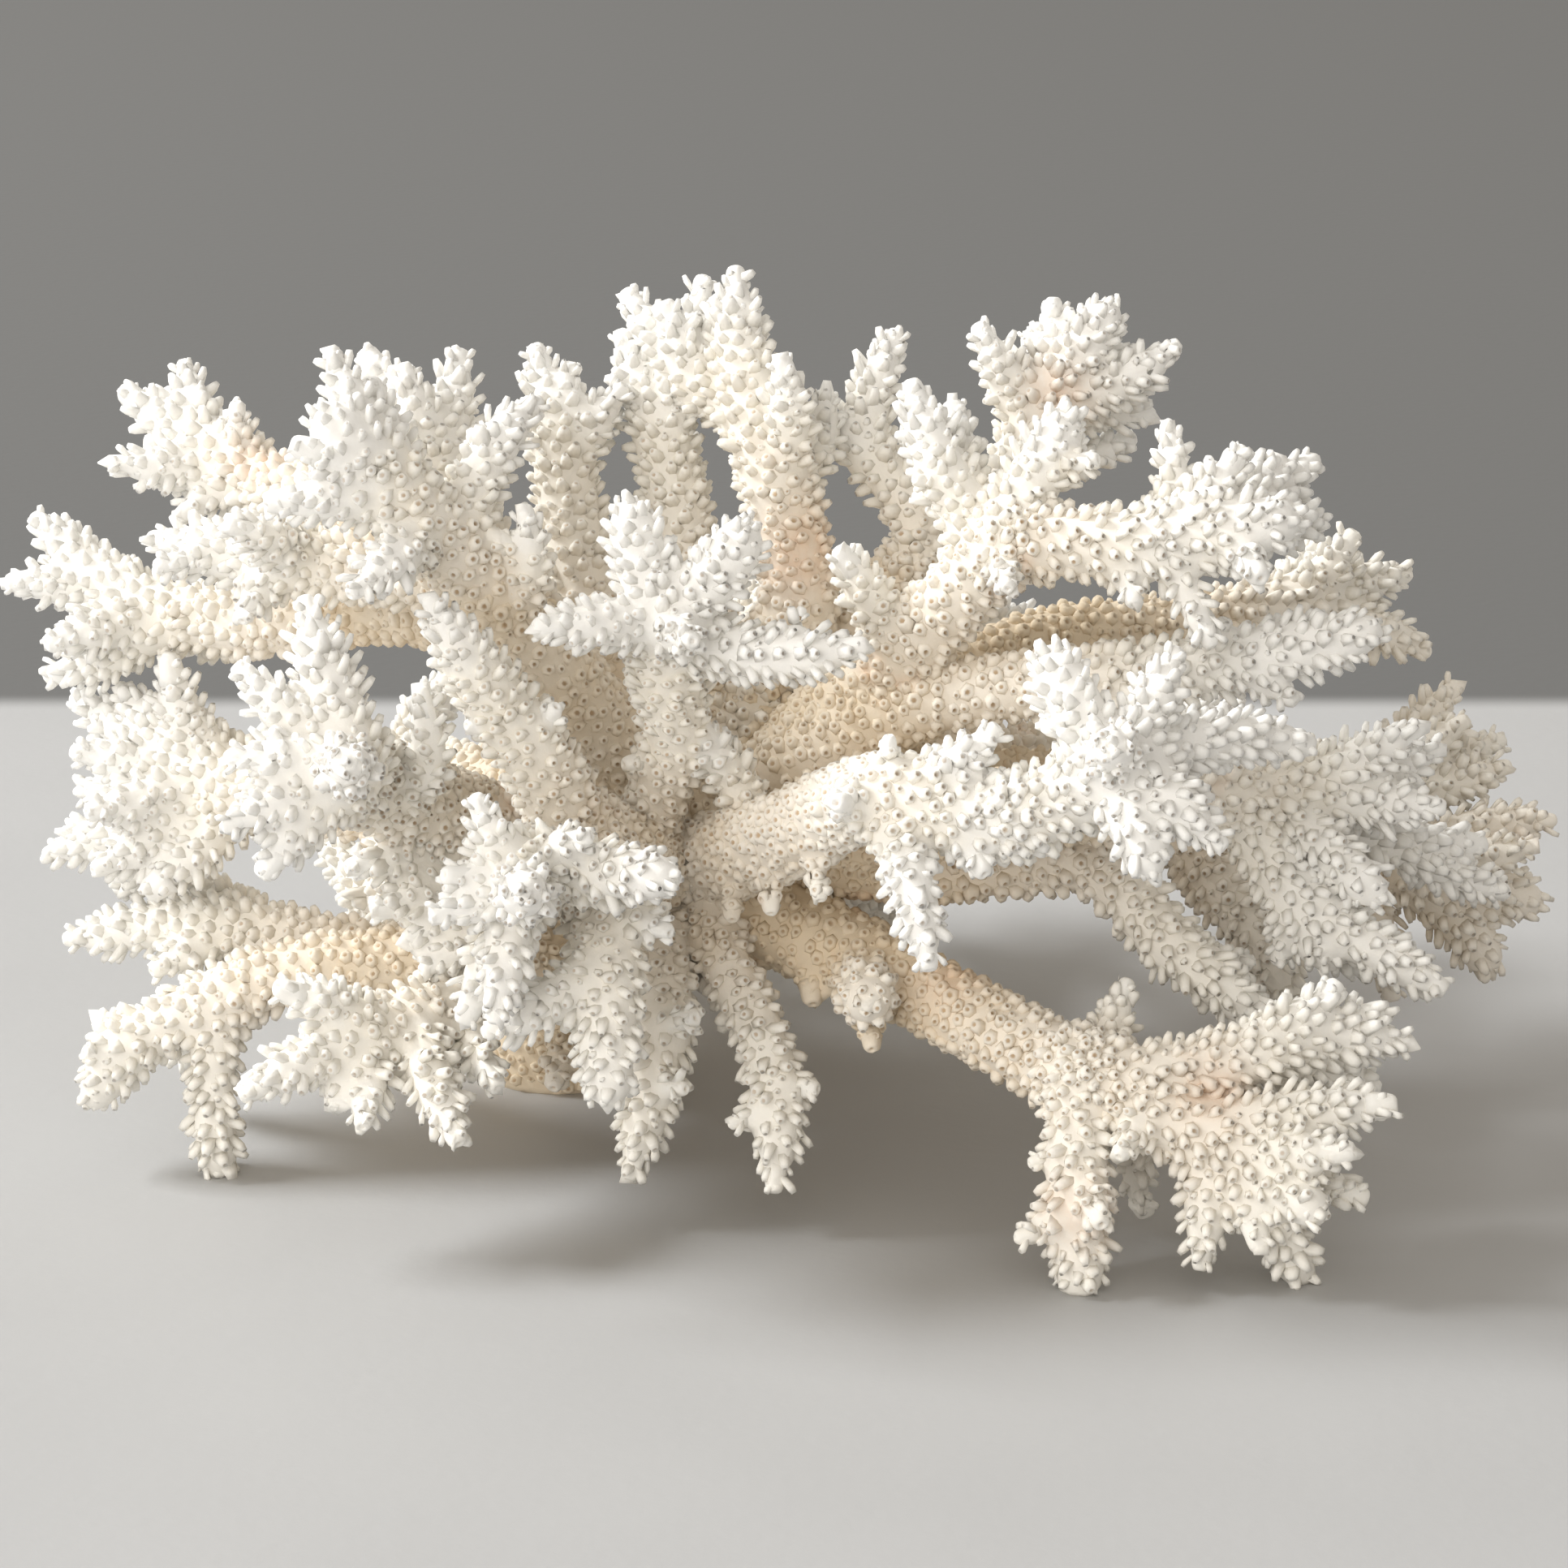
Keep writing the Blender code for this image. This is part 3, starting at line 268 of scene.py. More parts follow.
SEEN_LIMBS = marked("""
base_and_trunk
 -36.3 -48.6 -56.3 15, -34.4 -43 -51.8 15, -32.5 -36 -47 13, -24.9 -23.2 -32.1 11.5, -16 -12 -17 12.5,
   -10 4 -16 10.5, -3 15 -14 8.5
 -31 -33 -32 4.2, -34 -41 -18 3.8, -35.5 -47 -12 3
 -29 -33 -30 3.8, -30.5 -45 -14 3
left_main_limb
 -16 -12 -17 9.5, -34 -10 -8 8.6, -50 -6 0 8.2, -58 -3 6 7.6
 -52 -8 5, -60 -11 14, -67.5 -13 18 3.5
 -50 -10 4, -57 -17 14, -63.5 -19.5 18 3.4
 -47 -12 2, -53 -20 12, -58.5 -24.5 15 3.4
 -44 -15 0, -49 -24 12, -56 -29 16 3.6
left_rosette
 -50 -6 2 8, -60 -2 18 7.4, -66 2 32 7, -68 2 42 6.6
 -66 3 40 6, -70 15 40 5.4, -74 29 38 3.9
 -68 5 40, -78 12 42, -84.5 18.5 42
 -68 2 42, -78 4 46, -86 4 48
 -69 0 42, -79 -3 46, -86.5 -7 48
 -70 -2 42, -76 -8 44, -80.5 -14.5 44
 -68 2 42 5.6, -67 3 55 4.6
 -60 -2 22 4.6, -55 3 30 4.2, -56 15 32 3.2
left_low_cluster
 -56 -4 5 7.4, -74 -1 -5 6.8, -86 1 -12 6.6, -92 2 -15 6.4
 -88 4 -14, -93 12 -12, -95 20 -10
 -90 4 -14, -98 10 -18, -102.5 15.5 -20
 -93 4 -15, -102 9 -22, -109.5 13.5 -27
 -93 2 -15, -103 4 -14, -110 5 -12
 -93 0 -15, -102 -1 -24, -108.5 -1 -31
 -92 -1 -14, -101 -3 -8, -107.5 -4.5 -3
 -90 -3 -14, -102 -7 -19, -114 -11 -24
 -89 -4 -14, -99 -9.5 -11, -106.5 -13.5 -7
 -87 -4 -12, -95 -12 -22, -103 -16 -30
 -85 -4 -12, -91 -11 -9, -98.5 -17 -8
left_low_limb
 -29 -20 -18 8, -46 -25 -16 7.2, -60 -27 -17 6.6, -75 -24.5 -18 6, -90 -21.5 -20 5.4, -111 -24 -22 3.8
 -87 -23 -19, -97.5 -29 -13 3.4
 -80 -23 -20, -90 -17 -32, -96 -16 -40 3.6
 -62 -28 -20, -72 -29 -34, -80 -27 -44 3.6
lower_left_limb
 -42 -25 -12 7, -60 -28 -8 6.6, -72 -28.5 -6 6.2, -85 -32 -6 5.8, -97 -38 -6 5.4, -103 -41 -6 5
 -100 -40 -6 4.6, -106 -35.5 -9 3.4
 -101 -41 -6 4.6, -108 -41.5 -1 3.6
 -102 -42 -6 5.2, -107.3 -49.5 -4 4.2
 -86 -33 -6 5.2, -88 -44 -6 4.8, -87 -61 -7.5 4.4
 -84 -33 -8, -90 -38 -20, -95 -42 -29 3.6
front_low_left_cluster
 -30 -24 -16 7.4, -44 -31 2 6.8, -55 -36 14 6.4, -67 -40 22 6
 -63 -38 20, -71 -34 25, -78.5 -31 28
 -66 -40 22, -76 -44 28, -84 -48 30
 -66 -41 22 4.4, -69.5 -50 28 3.4
 -63 -41 22 4.4, -65 -53 32 3.4
 -57 -38 17, -54 -46 26, -50 -55.5 32 3.6
 -56 -37 18 3.8, -56 -43.5 26 3
 -50 -34 10 4.4, -47 -42 20 3.6, -44 -47 25 3
front_rosette
 -16 -12 -12 9, -24 -12 2 8.4, -33 -13 20 7.6, -40 -15 36 7.2, -41 -15 42 6.6
 -41 -13 40, -45 -8 44, -47.5 -1.5 46
 -42 -15 42, -52.5 -14 50
 -42 -16 42, -48 -18.5 47, -54.5 -20.5 50
 -41 -16 42 5.6, -40 -17 58 4.6
 -36 -13 34 5.6, -27 -13.5 42 5.4, -16.5 -14.5 48 4.3
 -37 -12 37 4.4, -33 -9 45 4, -29.5 -8 47 3.2
 -41 -18 40, -43 -27 46, -44.5 -37 48
 -42 -20 34 4.8, -46 -29 36 4.4, -49.5 -37 36 3.4
front_hanging_branch
 -22 -13 0 7.6, -27 -18 22 6.8, -27.5 -33 34 6.2, -27 -49.5 38 4.4
 -28 -28 32, -37 -34 38, -46.5 -38.5 41 3.6
 -26 -19 28, -17.5 -23 36 3.8
second_hanging_branch
 -20 -16 -12 7.2, -19.5 -27 2 6.2, -19 -40 10 5.8, -24 -61 14 3.8
 -19 -37 10 4, -13.5 -36 17 2.8
 -20 -46 12 3.6, -15 -47 18 2.6
diagonal_branch
 -24 -11 4 7.6, -33 -5 18 6.8, -38 4 27 6.4, -45 14 34 5.8, -50 21 38 5.2, -55 29 42 3.7
 -41 9 29 3.6, -49 9 34 2.6
 -40 6 27 3.6, -35 12 34 2.8
centre_cluster
 -22 -9 -4 5.8, -19 0 8 5.4, -17 8 15 5.8, -18 18 22 6.6, -18 26 28 6.6
 -4 -8 6 4.8, -8 1 10 4.4, -15 9 16 4.4
 -19 27 28 6, -22 35 30 5.6, -24.5 43.5 30 4.4
 -20 25 28, -29 24.5 34, -38.7 24 38 3.6
 -16 27 28 6, -9 34 32 5.6, -5 40.5 34 4.6
 -16 22 26 5.6, -4 20 30 5, 5 20 32 4.6, 13 21.5 34 3.4
 1 22 31 2.2, 2.8 27.3 31 1.6
 -18 4 11 3, -24.8 3 15 2.2
 -18 24 28 5, -14 22 40 3.8
upper_left_limb
 -14 -4 -14 8.8, -27 7 -2 7.8, -38 20 12 7.2, -48 32 24 6.8, -57 42 33 6.6, -62 48 36 6
 -61 47 36, -66 57 36, -70 67 34 3.5
 -60 46 35, -62 55 33, -64 62.5 31
 -61 47 36 5.6, -67 53 40 5.4, -72 58 42 4.4
 -60 46 36 4.6, -69 50 42 4.2, -76 52.5 44 3.2
 -58 43 34, -70 44 40, -80 43 42
 -51 36 28 5.4, -47 47 27 5, -43 54 25 4.6, -37.5 59.5 23 3.8
 -55 39 31, -60 35 41, -67 29 46 3.7
 -42 26 18 4.4, -39 33 27 3.8, -40 43 30 2.8
 -39 33 27 3.2, -44.5 38.5 31 2.4
upper_left_inner_limb
 -34 17 4 6.8, -44 32 8 6.2, -52 46 10 5.8, -55 53 10 5.4
 -54 51 10, -60 59 8, -64.5 67 6
 -55 52 10, -57 59 13, -58.5 65 14 3.6
 -53 49 10, -51 59 8, -50 67 6
upper_left_back_cluster
 -55 40 26 6.4, -68 43 10 6.2, -80 46 -4 6, -88 50 -10 5.8
 -87 50 -10, -95 55.5 -13, -102 61 -16
 -88 51 -10, -91 58 -14, -92.5 65.2 -18
 -84 49 -8, -84.3 59 -5
 -87 49 -10, -96 49 -6, -104.3 49.5 -3
 -85 47 -8 4.6, -93.5 41 -2 3.2
 -86 49 -10, -90 51 -24, -95 54 -34 3.6
mid_left_limb
 -46 30 22 6.4, -60 33 18 6.2, -75 34 13 5.8, -86 35.5 9 5.4, -98 38 5 3.8
 -79 33 12, -83.5 25 18 3.6
 -85 36 9 4.4, -97 33.5 15 3.2
 -72 34 12, -80 38 22, -86 40 28 3.6
far_left_limb
 -40 23 8 7, -60 27 -1 6.4, -78 25 -8 6.2, -92 26 -14 6, -104 29.5 -18 5.4
 -103 30 -18, -110 36 -20, -115.7 41.5 -22
 -104 30 -18, -113 31 -16, -120 31 -14
 -97 27 -16, -106 24 -11, -113.7 21.5 -7
 -95 25 -14, -105 19.5 -18, -113.7 16.5 -22
 -102 30 -18, -108 30 -30, -111 33 -38 3.6
 -84 25 -10, -88 23 -24, -92 25 -36 3.6
left_back_upright
 -14 0 -15 8, -24 13 -13 6.8, -30 27 -10 6.2, -33 42 -10 6, -35 55 -10 5.8, -38.5 67.8 -11 4
 -34 54 -10, -33 65 -7 3.6
 -33 50 -10 4.8, -29 56 -8 4.4, -24.5 61.5 -6 3.4
 -33 42 -12, -34 50 -22, -37 57 -28 3.6
middle_back_upright
 -8 8 -15 7.8, -12 22 -12 6.4, -15 34 -12 6, -17 46 -12 5.8, -20 56 -12 5.4, -25.5 70 -12 3.8
 -18 53 -12, -17 66 -8 3.6
 -17 45 -13, -17 50 -26, -18 55 -34 3.6
top_limb
 -3 15 -14 8.4, 2 27 -8 7.2, 0.5 40 -5 6.6, -2.5 50 -4 6.4, -5 60 -4 5.8, -7 70 -5 5.2, -7.5 79.8 -6 3.6
 -5 56 -5, -12 61 -8, -18 67 -10, -24.7 76 -12 3.7
 -13 62 -8 4.6, -16 68 -7 4.2, -18.5 74.5 -6 3.4
 -12 61 -8 4.8, -13 70 -11 4.2, -12.5 78.4 -12 3.4
 -1 46 -4, 1 56 1, -0.5 66 4 3.5
 0 45 -5, 5 53 -9, 6.5 61 -11 3.5
 -3 52 -6, -2 60 -18, -3 66 -24 3.6
right_back_upright
 4 16 -17 7.6, 14 26 -16 6.4, 20.5 35 -15 5.2, 19.5 43 -14 4.6, 14 50 -14 5, 13 58 -14 4.8, 17.5 70 -15 3.2
 13 50 -14 4.6, 8 57 -12 3.4
 19 43 -15, 20 50 -24, 22 55 -30 3.6
right_upper_limb
 0 4 -10 8.2, 12 14 0 7.4, 22 24 9 6.8, 30 33 15 6.6, 35 38 19 6.2
 18 20 6, 13 29 11, 8.3 36.5 14 3.6
 31 35 16 5.4, 26 45 15 5.2, 22 54 14 4.8, 19.5 62.3 13 3.9
 25 46 15 3.4, 20 47 19 2.6
 28 44 14 4.6, 27 51 9 4.2, 26 59 6 3.4
 33 38 18 5.8, 38 46 18 5.6, 44.5 58 18 4.4
 40 49 18 4.2, 48.5 50 22 3.2
 33 35 20 3.6, 34.5 30 29 2.6
right_upper_arm
 34 37 18 6.4, 45 37 22 6.2, 60 37 26 6.2, 70 39 28 5.8, 79.8 41.5 30 4.6
 60 38 26, 66 45 26, 71 52 26 3.7
 52 35 23 4.2, 54 27.5 28 3
 60 34 26 4, 66 21 29 2.8
 69 37 28 4.2, 73.5 31.5 36 3
 57 39 22 4.2, 60 46 17 3.8, 59 56 13 2.9
 65 40 24, 72 45 16, 75.8 50 11 3.5
 70 42 20, 76 46 10, 82 50 5 3.5
 72 40 22, 83 40 10 3.5
back_crown
 17 30 -16 6.6, 29 40 -20 6.2, 35 47 -22 6, 38 54 -24 5.8, 41 61 -25 5.4
 38 56 -24, 34 63 -22, 29.7 71 -20 3.6
 40 60 -25, 38 70 -30 3.5
 41 60 -25, 41.5 75 -24 3.8
 42 61 -25 5.6, 46 67 -22 5.4, 50.7 74 -20 4.4
 43 61 -25, 53 67 -31 3.6
 42 60 -25, 52 62 -22, 61 68 -20 3.6
 42 58 -25, 50 58 -28, 57 56.5 -30 3.5
 38 53 -24 3.8, 46 50 -29 3.4, 54 53.5 -33 2.8
brown_back_limb
 -8 0 -22 8.6, 8 8 -25 7.2, 20 13 -28 6.4, 35 21 -34 5.8, 50 24 -38 5.6, 62 25 -41 5.6, 80 28 -46 5.4
 79 28 -46, 84 33 -44, 88 39 -42 3.6
 80 28 -47, 89 31 -50, 96.5 32.5 -53 3.6
 80 27 -47, 91 24 -48, 99.5 20 -50 3.6
 77 28 -46, 81 33 -54, 82.5 38 -60 3.4
 45 23 -37, 48 20 -52, 50 21 -62 3.6
far_right_limb
 -10 -8 -22 8.2, 12 -2 -28 7.2, 35 0 -33 6.8, 55 -1 -38 6.6, 75 -2 -42 6.4, 91 -3 -44 6
 87 -2 -44, 96 7 -46, 104 15.5 -48
 89 -2 -44, 98 5 -42, 105.5 10 -39
 91 -3 -44, 102 3 -49, 111 7 -52
 91 -4 -44, 103 0 -42, 112 3 -42
 70 -1 -42, 78 3 -56, 84 4 -66 3.6
 88 -3 -46, 96 -2 -58, 102 0 -66 3.6
far_right_low_limb
 72 -3 -42 6.2, 88 -9 -39 6, 100 -14 -37 5.8
 94 -11 -38, 107 -7 -38, 119 -5.5 -38 4
 97 -13 -37, 108 -11.5 -33, 116 -9.5 -29
 99 -14 -37 5.6, 109 -16.5 -38 5.4, 116.5 -18.5 -40 4.2
 98 -15 -37 5.6, 105 -22 -37 5.4, 109 -29 -37 4.2
 97 -14 -38, 104 -17 -50, 108 -20 -58 3.6
 88 -10 -38, 91 -22 -36, 94 -33.5 -35 3.5
back_right_hanging_limb
 54 -2 -36 6.6, 63 -10 -26 6, 70 -19 -20 5.8, 76 -28 -16 5.4, 79.5 -36 -14 4
 67 -16 -22, 74 -17 -34, 78 -21 -43 3.6
cream_limb
 -2 0 -8 7.8, 12 9 2 6.8, 28 14 8 6.2, 45 15.5 13 6, 63 18 17 5.8, 78 20.5 20 5.4, 92 24 22 4.2
 66 19 17 3.4, 68 25.5 20 2.4
 74 20 19 4.4, 83 25.5 17 3.2
 70 19 18 4.4, 79 12.5 22 3.2
 50 16 12, 56 14 -2, 60 15 -12 3.6
centre_right_cluster
 -12 -12 -6 8, 0 -8 18 7.4, 8 -4 32 7.2, 16 -2 42 7, 28 -5 46 6.4, 36 -5 47 6.2
 16 0 44 3.2, 16.3 7.6 46 2.2
 16 -5 44, 20 -17 50, 22.5 -28.8 53 3.6
 21 -1 43, 27 3 46, 33 9 48 3.6
 -8 -13 6 3.4, -8 -21 12 2.4
 -2 -12 16 3, -2 -20 21 2.2
 5 -9 28 3.2, 5.5 -18 32 2.4
 12 -3 40 5, 8 -3 52 3.8
 26 -6 44 4.4, 31 -14 50 3.4
star_cluster
 36 -5 47 6.4, 45 -1 49 6.8, 52 4 50 6.8
 49 4 50 5.8, 44 13 50 5.6, 40.3 21 48 4.6
 53 5 50, 57 13 50, 60.7 21 48 3.9
 54 4 49 5.6, 65 6.5 42 5.2, 77 8 36 4
 51 1 50 5.6, 54 -6 54 5.4, 57 -14.3 56 4.2
 54 2 50 5.6, 61 -4 54 5.2, 68 -10 56 4
 70 7 39 3.8, 81.5 6 34 2.8
 52 4 50 5.4, 50 6 63 4.2
right_middle_limb
 10 -7 10 7.2, 33 -4 17 6.8, 55 -3 14 6.6, 72 -2 9 6.4, 84 -1 5 5.8
 82 0 5, 91 5 6, 98.5 9 6
 84 0 5, 94 3 1, 101.5 5.5 -2 3.7
 83 -2 5, 94 -3 6, 102 -3.7 7
 76 -4 8, 85 -11 11, 92 -18 13 4.2
 84 -5 0 4.6, 96 -8 -8 4, 108 -9.5 -14 3
 88 -7 -3 4.4, 100 -12.5 -11 4, 111.5 -17 -17 3
right_descending_limb
 70 -3 9 6.4, 76 -12 8 6, 81 -20 8 5.8, 84 -28.5 8 4.2
 79 -17 8, 90 -25 10, 102 -32 12 3.8
 79 -19 7 4.8, 76 -28 5 3.4
 82 -22 6 4.8, 90 -29 0 3.4
arch_limb
 2 -10 -8 7.2, 20 -13 0 6.2, 35 -12.5 4 5.8, 46 -12 6 5.8, 52 -16 7 5.6, 60 -25 9 5.6, 76 -38.5 12 3.8
 64 -28 10 4, 72 -27.5 5 2.8
centre_hanging_branch
 -13 -16 -8 6.8, -9 -28 3 5.2, -3 -40 10 5, -1 -51 14 5.2, -1.5 -63 17 3.8
 -2 -50 14 3.4, -8.5 -52.5 17 2.2
 -1 -46 13 3, 5.3 -47 16 2
big_right_lower_limb
 -15 -14 -14 9.6, -2 -21 -6 8, 12 -27 2 7.4, 25 -34 12 7, 38 -41 22 7, 47 -45.5 28 6.8
 12 -29 4 6.2, 13 -34 24 4.8
 13 -36 14 3.4, 13.5 -41 18 2.4
 4 -26 0 3.6, 4.5 -34 5 2.6
foot_branch
 45.5 -44 28 6.8, 45.5 -56 31 5.6, 45 -66 33 5.6, 45.5 -74 34 5, 45.5 -79.5 34 4.6
 44 -65 33 4.4, 39 -69 36 3.8, 35.5 -70 37 2.6
 43 -57 31 2.8, 37.7 -58.5 33 2
 46 -61 33 4, 49 -68 42 3
bottom_right_limb
 46 -44.5 27 6.8, 55 -46 30 6.6, 64 -44 30 6, 73 -41 30 5.6, 80 -36.5 28 5.2, 85.5 -30.5 27 4
 49 -42 25 4.4, 51 -36 20 4, 53 -30 18 3
 74 -41 29, 86 -39 26, 97 -40 24 3.9
 76 -42 27, 85 -44 23, 91.5 -47 20 3.6
 82 -39 26 4.4, 93 -34.5 23 3.2
bottom_right_cluster
 50 -46.5 28 6.6, 60 -52 31 6.4, 68 -55 33 6.6, 73 -58 34 6
 66 -53 33, 80 -50.5 36, 94.5 -49.5 38 3.7
 73 -56 35, 81 -57 41, 88 -56.5 44 3.5
 73 -60 35, 83 -66.5 44 4.2
 74 -59 33, 90 -64 33 3.6
 71 -60 34, 76 -68 34, 80 -77 30 4.2
 65 -57 32, 65 -66 34, 64 -75 35 3.7
 57 -52 27 3.4, 54 -60 19 3, 56 -66.5 16 2.4
 56 -50 31 4.8, 51.5 -57.5 38 3.4
 71 -62 35 4, 73.5 -72 39 2.8
""")
print(f"{len(SEEN_LIMBS)} limbs seen from the front")

# %% The limbs at the back
BACK_LIMBS = marked("""
back_left_limb
 18 -20 40 8.6, 2 4 42 7.6, -14 24 41 6.8, -26 40 38 6.4, -34 50 36 6
 -32 48 36, -42 55 37, -53 60 34
 -33 49 36, -37 60 32, -39 73 30
 -28 44 38, -26 56 42, -21 70 47
 -30 46 36, -42 46 30, -56 45 26
 -26 42 36, -28 46 25, -31 47 15 3.7
back_low_limb
 7 -7 21 9, 6 10 21 7.4, 8 28 20 6.8, 10 44 20 6.4, 9 52 21 5.8
 9 44 18 5.2, 12 46 8 5, 12 46 -0.5 4.6
 8 50 21, 7 60 24, 6 70 27
 10 46 22, 18 56 24, 26 66 25
 6 40 20, -3 50 20, -12 59 18
 9 50 18, 12 58 13, 15 65 9 3.7
 8 30 22, 16 36 30, 22 44 34 3.8
back_middle_limb
 23 -18 50 9, 24 6 54 7.8, 26 28 56 7, 28 46 56 6.6, 30 60 54 6
 30 58 54, 33 72 53, 34 85 50
 29 54 54, 22 66 50, 14 79 46
 29 54 55, 40 65 53, 51 77 50
 28 46 58, 34 56 64, 39 68 67 3.6
 28 50 52, 26 60 42, 24 70 36 3.8
 26 30 58, 18 40 62, 12 50 62 3.8
 27 38 55, 38 44 49, 46 51 46 3.8
back_right_limb
 26 -18 46 8.6, 44 6 46 7.4, 64 22 44 6.8, 84 36 42 6.4, 98 46 40 6
 97 46 40, 107 55 42, 117 62 42
 96 45 39, 105 47 33, 113 46 28 3.8
 92 43 40, 93 56 40, 92 69 38
 80 34 42, 79 46 38, 78 59 34
 97 46 39, 104 56 33, 111 63 28
 62 20 46, 60 32 50, 58 42 50 3.8
 70 26 42, 68 36 34, 64 46 30 3.8
back_right_low_limb
 17 -15 32 8, 32 6 28 7, 43 24 23 6.6, 50 39 20 6
 49 37 20, 57 48 19, 64 57 18
 49 38 20, 48 51 18, 46 63 16
 48 35 20, 56 40 13, 62 42 8 3.7
 48 34 19 5, 52 37 9 4.8, 53 38 -0.5 4.4
 40 20 24, 48 22 30, 56 27 33 3.8
back_left_low_limb
 9 -10 24 8, -8 5 23 6.8, -22 18 22 6.4, -33 29 20 5.8
 -32 28 20, -38 37 23, -43 45 24
 -32 29 19, -32 38 14, -31 47 10
 -31 26 19, -36 26 12, -39 25 7 3.7
 -20 18 24, -20 30 27, -16 40 28 3.8
back_upper_left_limb
 22 -16 56 8.4, 4 6 60 7.2, -8 22 63 6.6, -18 35 65 6
 -17 34 65, -26 43 68, -35 51 70
 -16 33 64, -17 45 66, -16 56 66
 -17 34 66, -21 38 76, -25 40 86
 -4 18 61, -6 30 54, -4 42 52 3.8
back_upper_right_limb
 28 -14 58 8.4, 42 8 63 7.2, 54 25 65 6.6, 62 36 66 6
 61 36 65, 60 49 63, 58 61 60
 61 35 66, 67 37 73, 72 36 81
 60 33 65, 72 39 64, 84 45 62
 50 20 66, 44 32 70, 40 42 70 3.8
""")
print(f"{len(BACK_LIMBS)} limbs at the back")

# %% [markdown]
# ## From marked points to smooth branches
# A few marked points make a kinked line. A curve that passes through all of them, and whose direction at each
# one follows its two neighbours, bends the way a branch grows. The skin lies under the cups, so it is a little
# thinner than the marked radius, and it narrows to the one big cup at each tip.

# %% Branch axes
FINGER_ROOT_RADIUS = 5.2
FINGER_TIP_RADIUS = 4.0
RING_STEP = 1.6
CUP_REACH = 1.35
MOST_REACH_SHARE = 0.36
OPEN_END_RADIUS = 4.85
BLUNT_END_RADIUS = 4.15
TIP_RADIUS = 1.45
SLIM_TUBE, SLIM_SLOPE = 2.6, 0.38
BLUNT_TUBE, BLUNT_SLOPE = 1.0, 0.9


class Branch:
    """One branch: its axis points, how far each lies from the tip, and its skin's radius there."""

    def __init__(self, rows, from_view):
        share = np.linspace(0, 1, len(rows))
        usual = FINGER_ROOT_RADIUS + (FINGER_TIP_RADIUS - FINGER_ROOT_RADIUS) * share
        radius = np.array([row[3] if len(row) == 4 else usual[i] for i, row in enumerate(rows)], float)
        keys = np.array([row[:3] for row in rows], float)
        keys = seen(keys) if from_view else keys
        self.axis, self.outer = smooth_run(keys, radius)
        step = np.linalg.norm(np.diff(self.axis, axis=0), axis=1)
        self.along = np.concatenate([[0], np.cumsum(step)])
        self.to_tip = self.along[-1] - self.along
        self.free = self.outer[-1] < OPEN_END_RADIUS
        skin = self.outer - np.minimum(CUP_REACH, MOST_REACH_SHARE * self.outer)
        blunt = self.outer[-1] > BLUNT_END_RADIUS
        tube_length, slope = (BLUNT_TUBE, BLUNT_SLOPE) if blunt else (SLIM_TUBE, SLIM_SLOPE)
        tip = min(TIP_RADIUS, 0.5 * self.outer[-1]) + slope * np.maximum(self.to_tip - tube_length, 0)
        self.skin = np.minimum(skin, tip) if self.free else skin
        heading = np.gradient(self.axis, axis=0)
        self.heading = heading / np.linalg.norm(heading, axis=1, keepdims=True)

    def at(self, values, along):
        """Rows of values, one for each axis point, at other lengths along the branch."""
        return np.column_stack([np.interp(along, self.along, column) for column in values.T])


def smooth_run(keys, radius):
    """From key b to key c, with a before and d after them, the place at t is
    b + (c-a)t/2 + (a - 5b/2 + 2c - d/2)t^2 + (3b/2 - 3c/2 + d/2 - a/2)t^3. The radius runs straight."""
    a = np.vstack([keys[:1], keys[:-2]])
    b, c = keys[:-1], keys[1:]
    d = np.vstack([keys[2:], keys[-1:]])
    steps = np.maximum(2, np.round(np.linalg.norm(c - b, axis=1) / RING_STEP)).astype(int)
    part = np.repeat(np.arange(len(steps)), steps)
    t = (np.arange(steps.sum()) - np.repeat(np.cumsum(steps) - steps, steps)) / steps[part]
    a, b, c, d = a[part], b[part], c[part], d[part]
    place = b + (c - a) / 2 * t[:, None] + (a - 2.5 * b + 2 * c - d / 2) * t[:, None] ** 2
    place += (1.5 * b - 1.5 * c + d / 2 - a / 2) * t[:, None] ** 3
    wide = radius[part] * (1 - t) + radius[part + 1] * t
    return np.vstack([place, keys[-1]]), np.append(wide, radius[-1])


limbs = {}
for table, from_view in ((SEEN_LIMBS, True), (BACK_LIMBS, False)):
    for limb_name, branches in table.items():
        limbs[limb_name] = [Branch(rows, from_view) for rows in branches]
print(f"{len(limbs)} limbs with {sum(map(len, limbs.values()))} branches")

# %% [markdown]
# ## Age
# The skeleton is youngest at the tips. How much has grown since a place was a tip is, along a limb's path, the
# length left to its end, and more where another limb carries on from there. Along a finger it runs from the
# age of the path at its root down to a tip's, which a short stub doesn't quite reach.

# %% What has grown since
CARRIED_WITHIN = 14.0
GROWN_IF_CARRIED = 34.0
GROWN_UNDER_ROSETTE = 15.0
GROWTH_RATE = 2.6

roots = np.array([branches[0].axis[0] for branches in limbs.values()])
for path, *fingers in limbs.values():
    carries = (np.linalg.norm(roots - path.axis[-1], axis=1) < CARRIED_WITHIN).any()
    at_end = GROWN_IF_CARRIED if carries else GROWN_UNDER_ROSETTE
    path.grown = path.to_tip + (0 if path.free else at_end)
    for finger in fingers:
        at_root = path.grown[np.linalg.norm(path.axis - finger.axis[0], axis=1).argmin()]
        at_tip = max(0.0, at_root - GROWTH_RATE * finger.along[-1])
        finger.grown = at_tip + (at_root - at_tip) * finger.to_tip / finger.along[-1]
oldest = max(path.grown.max() for path, *_ in limbs.values())
print(f"the oldest place has {oldest:.0f} mm of growth on it")

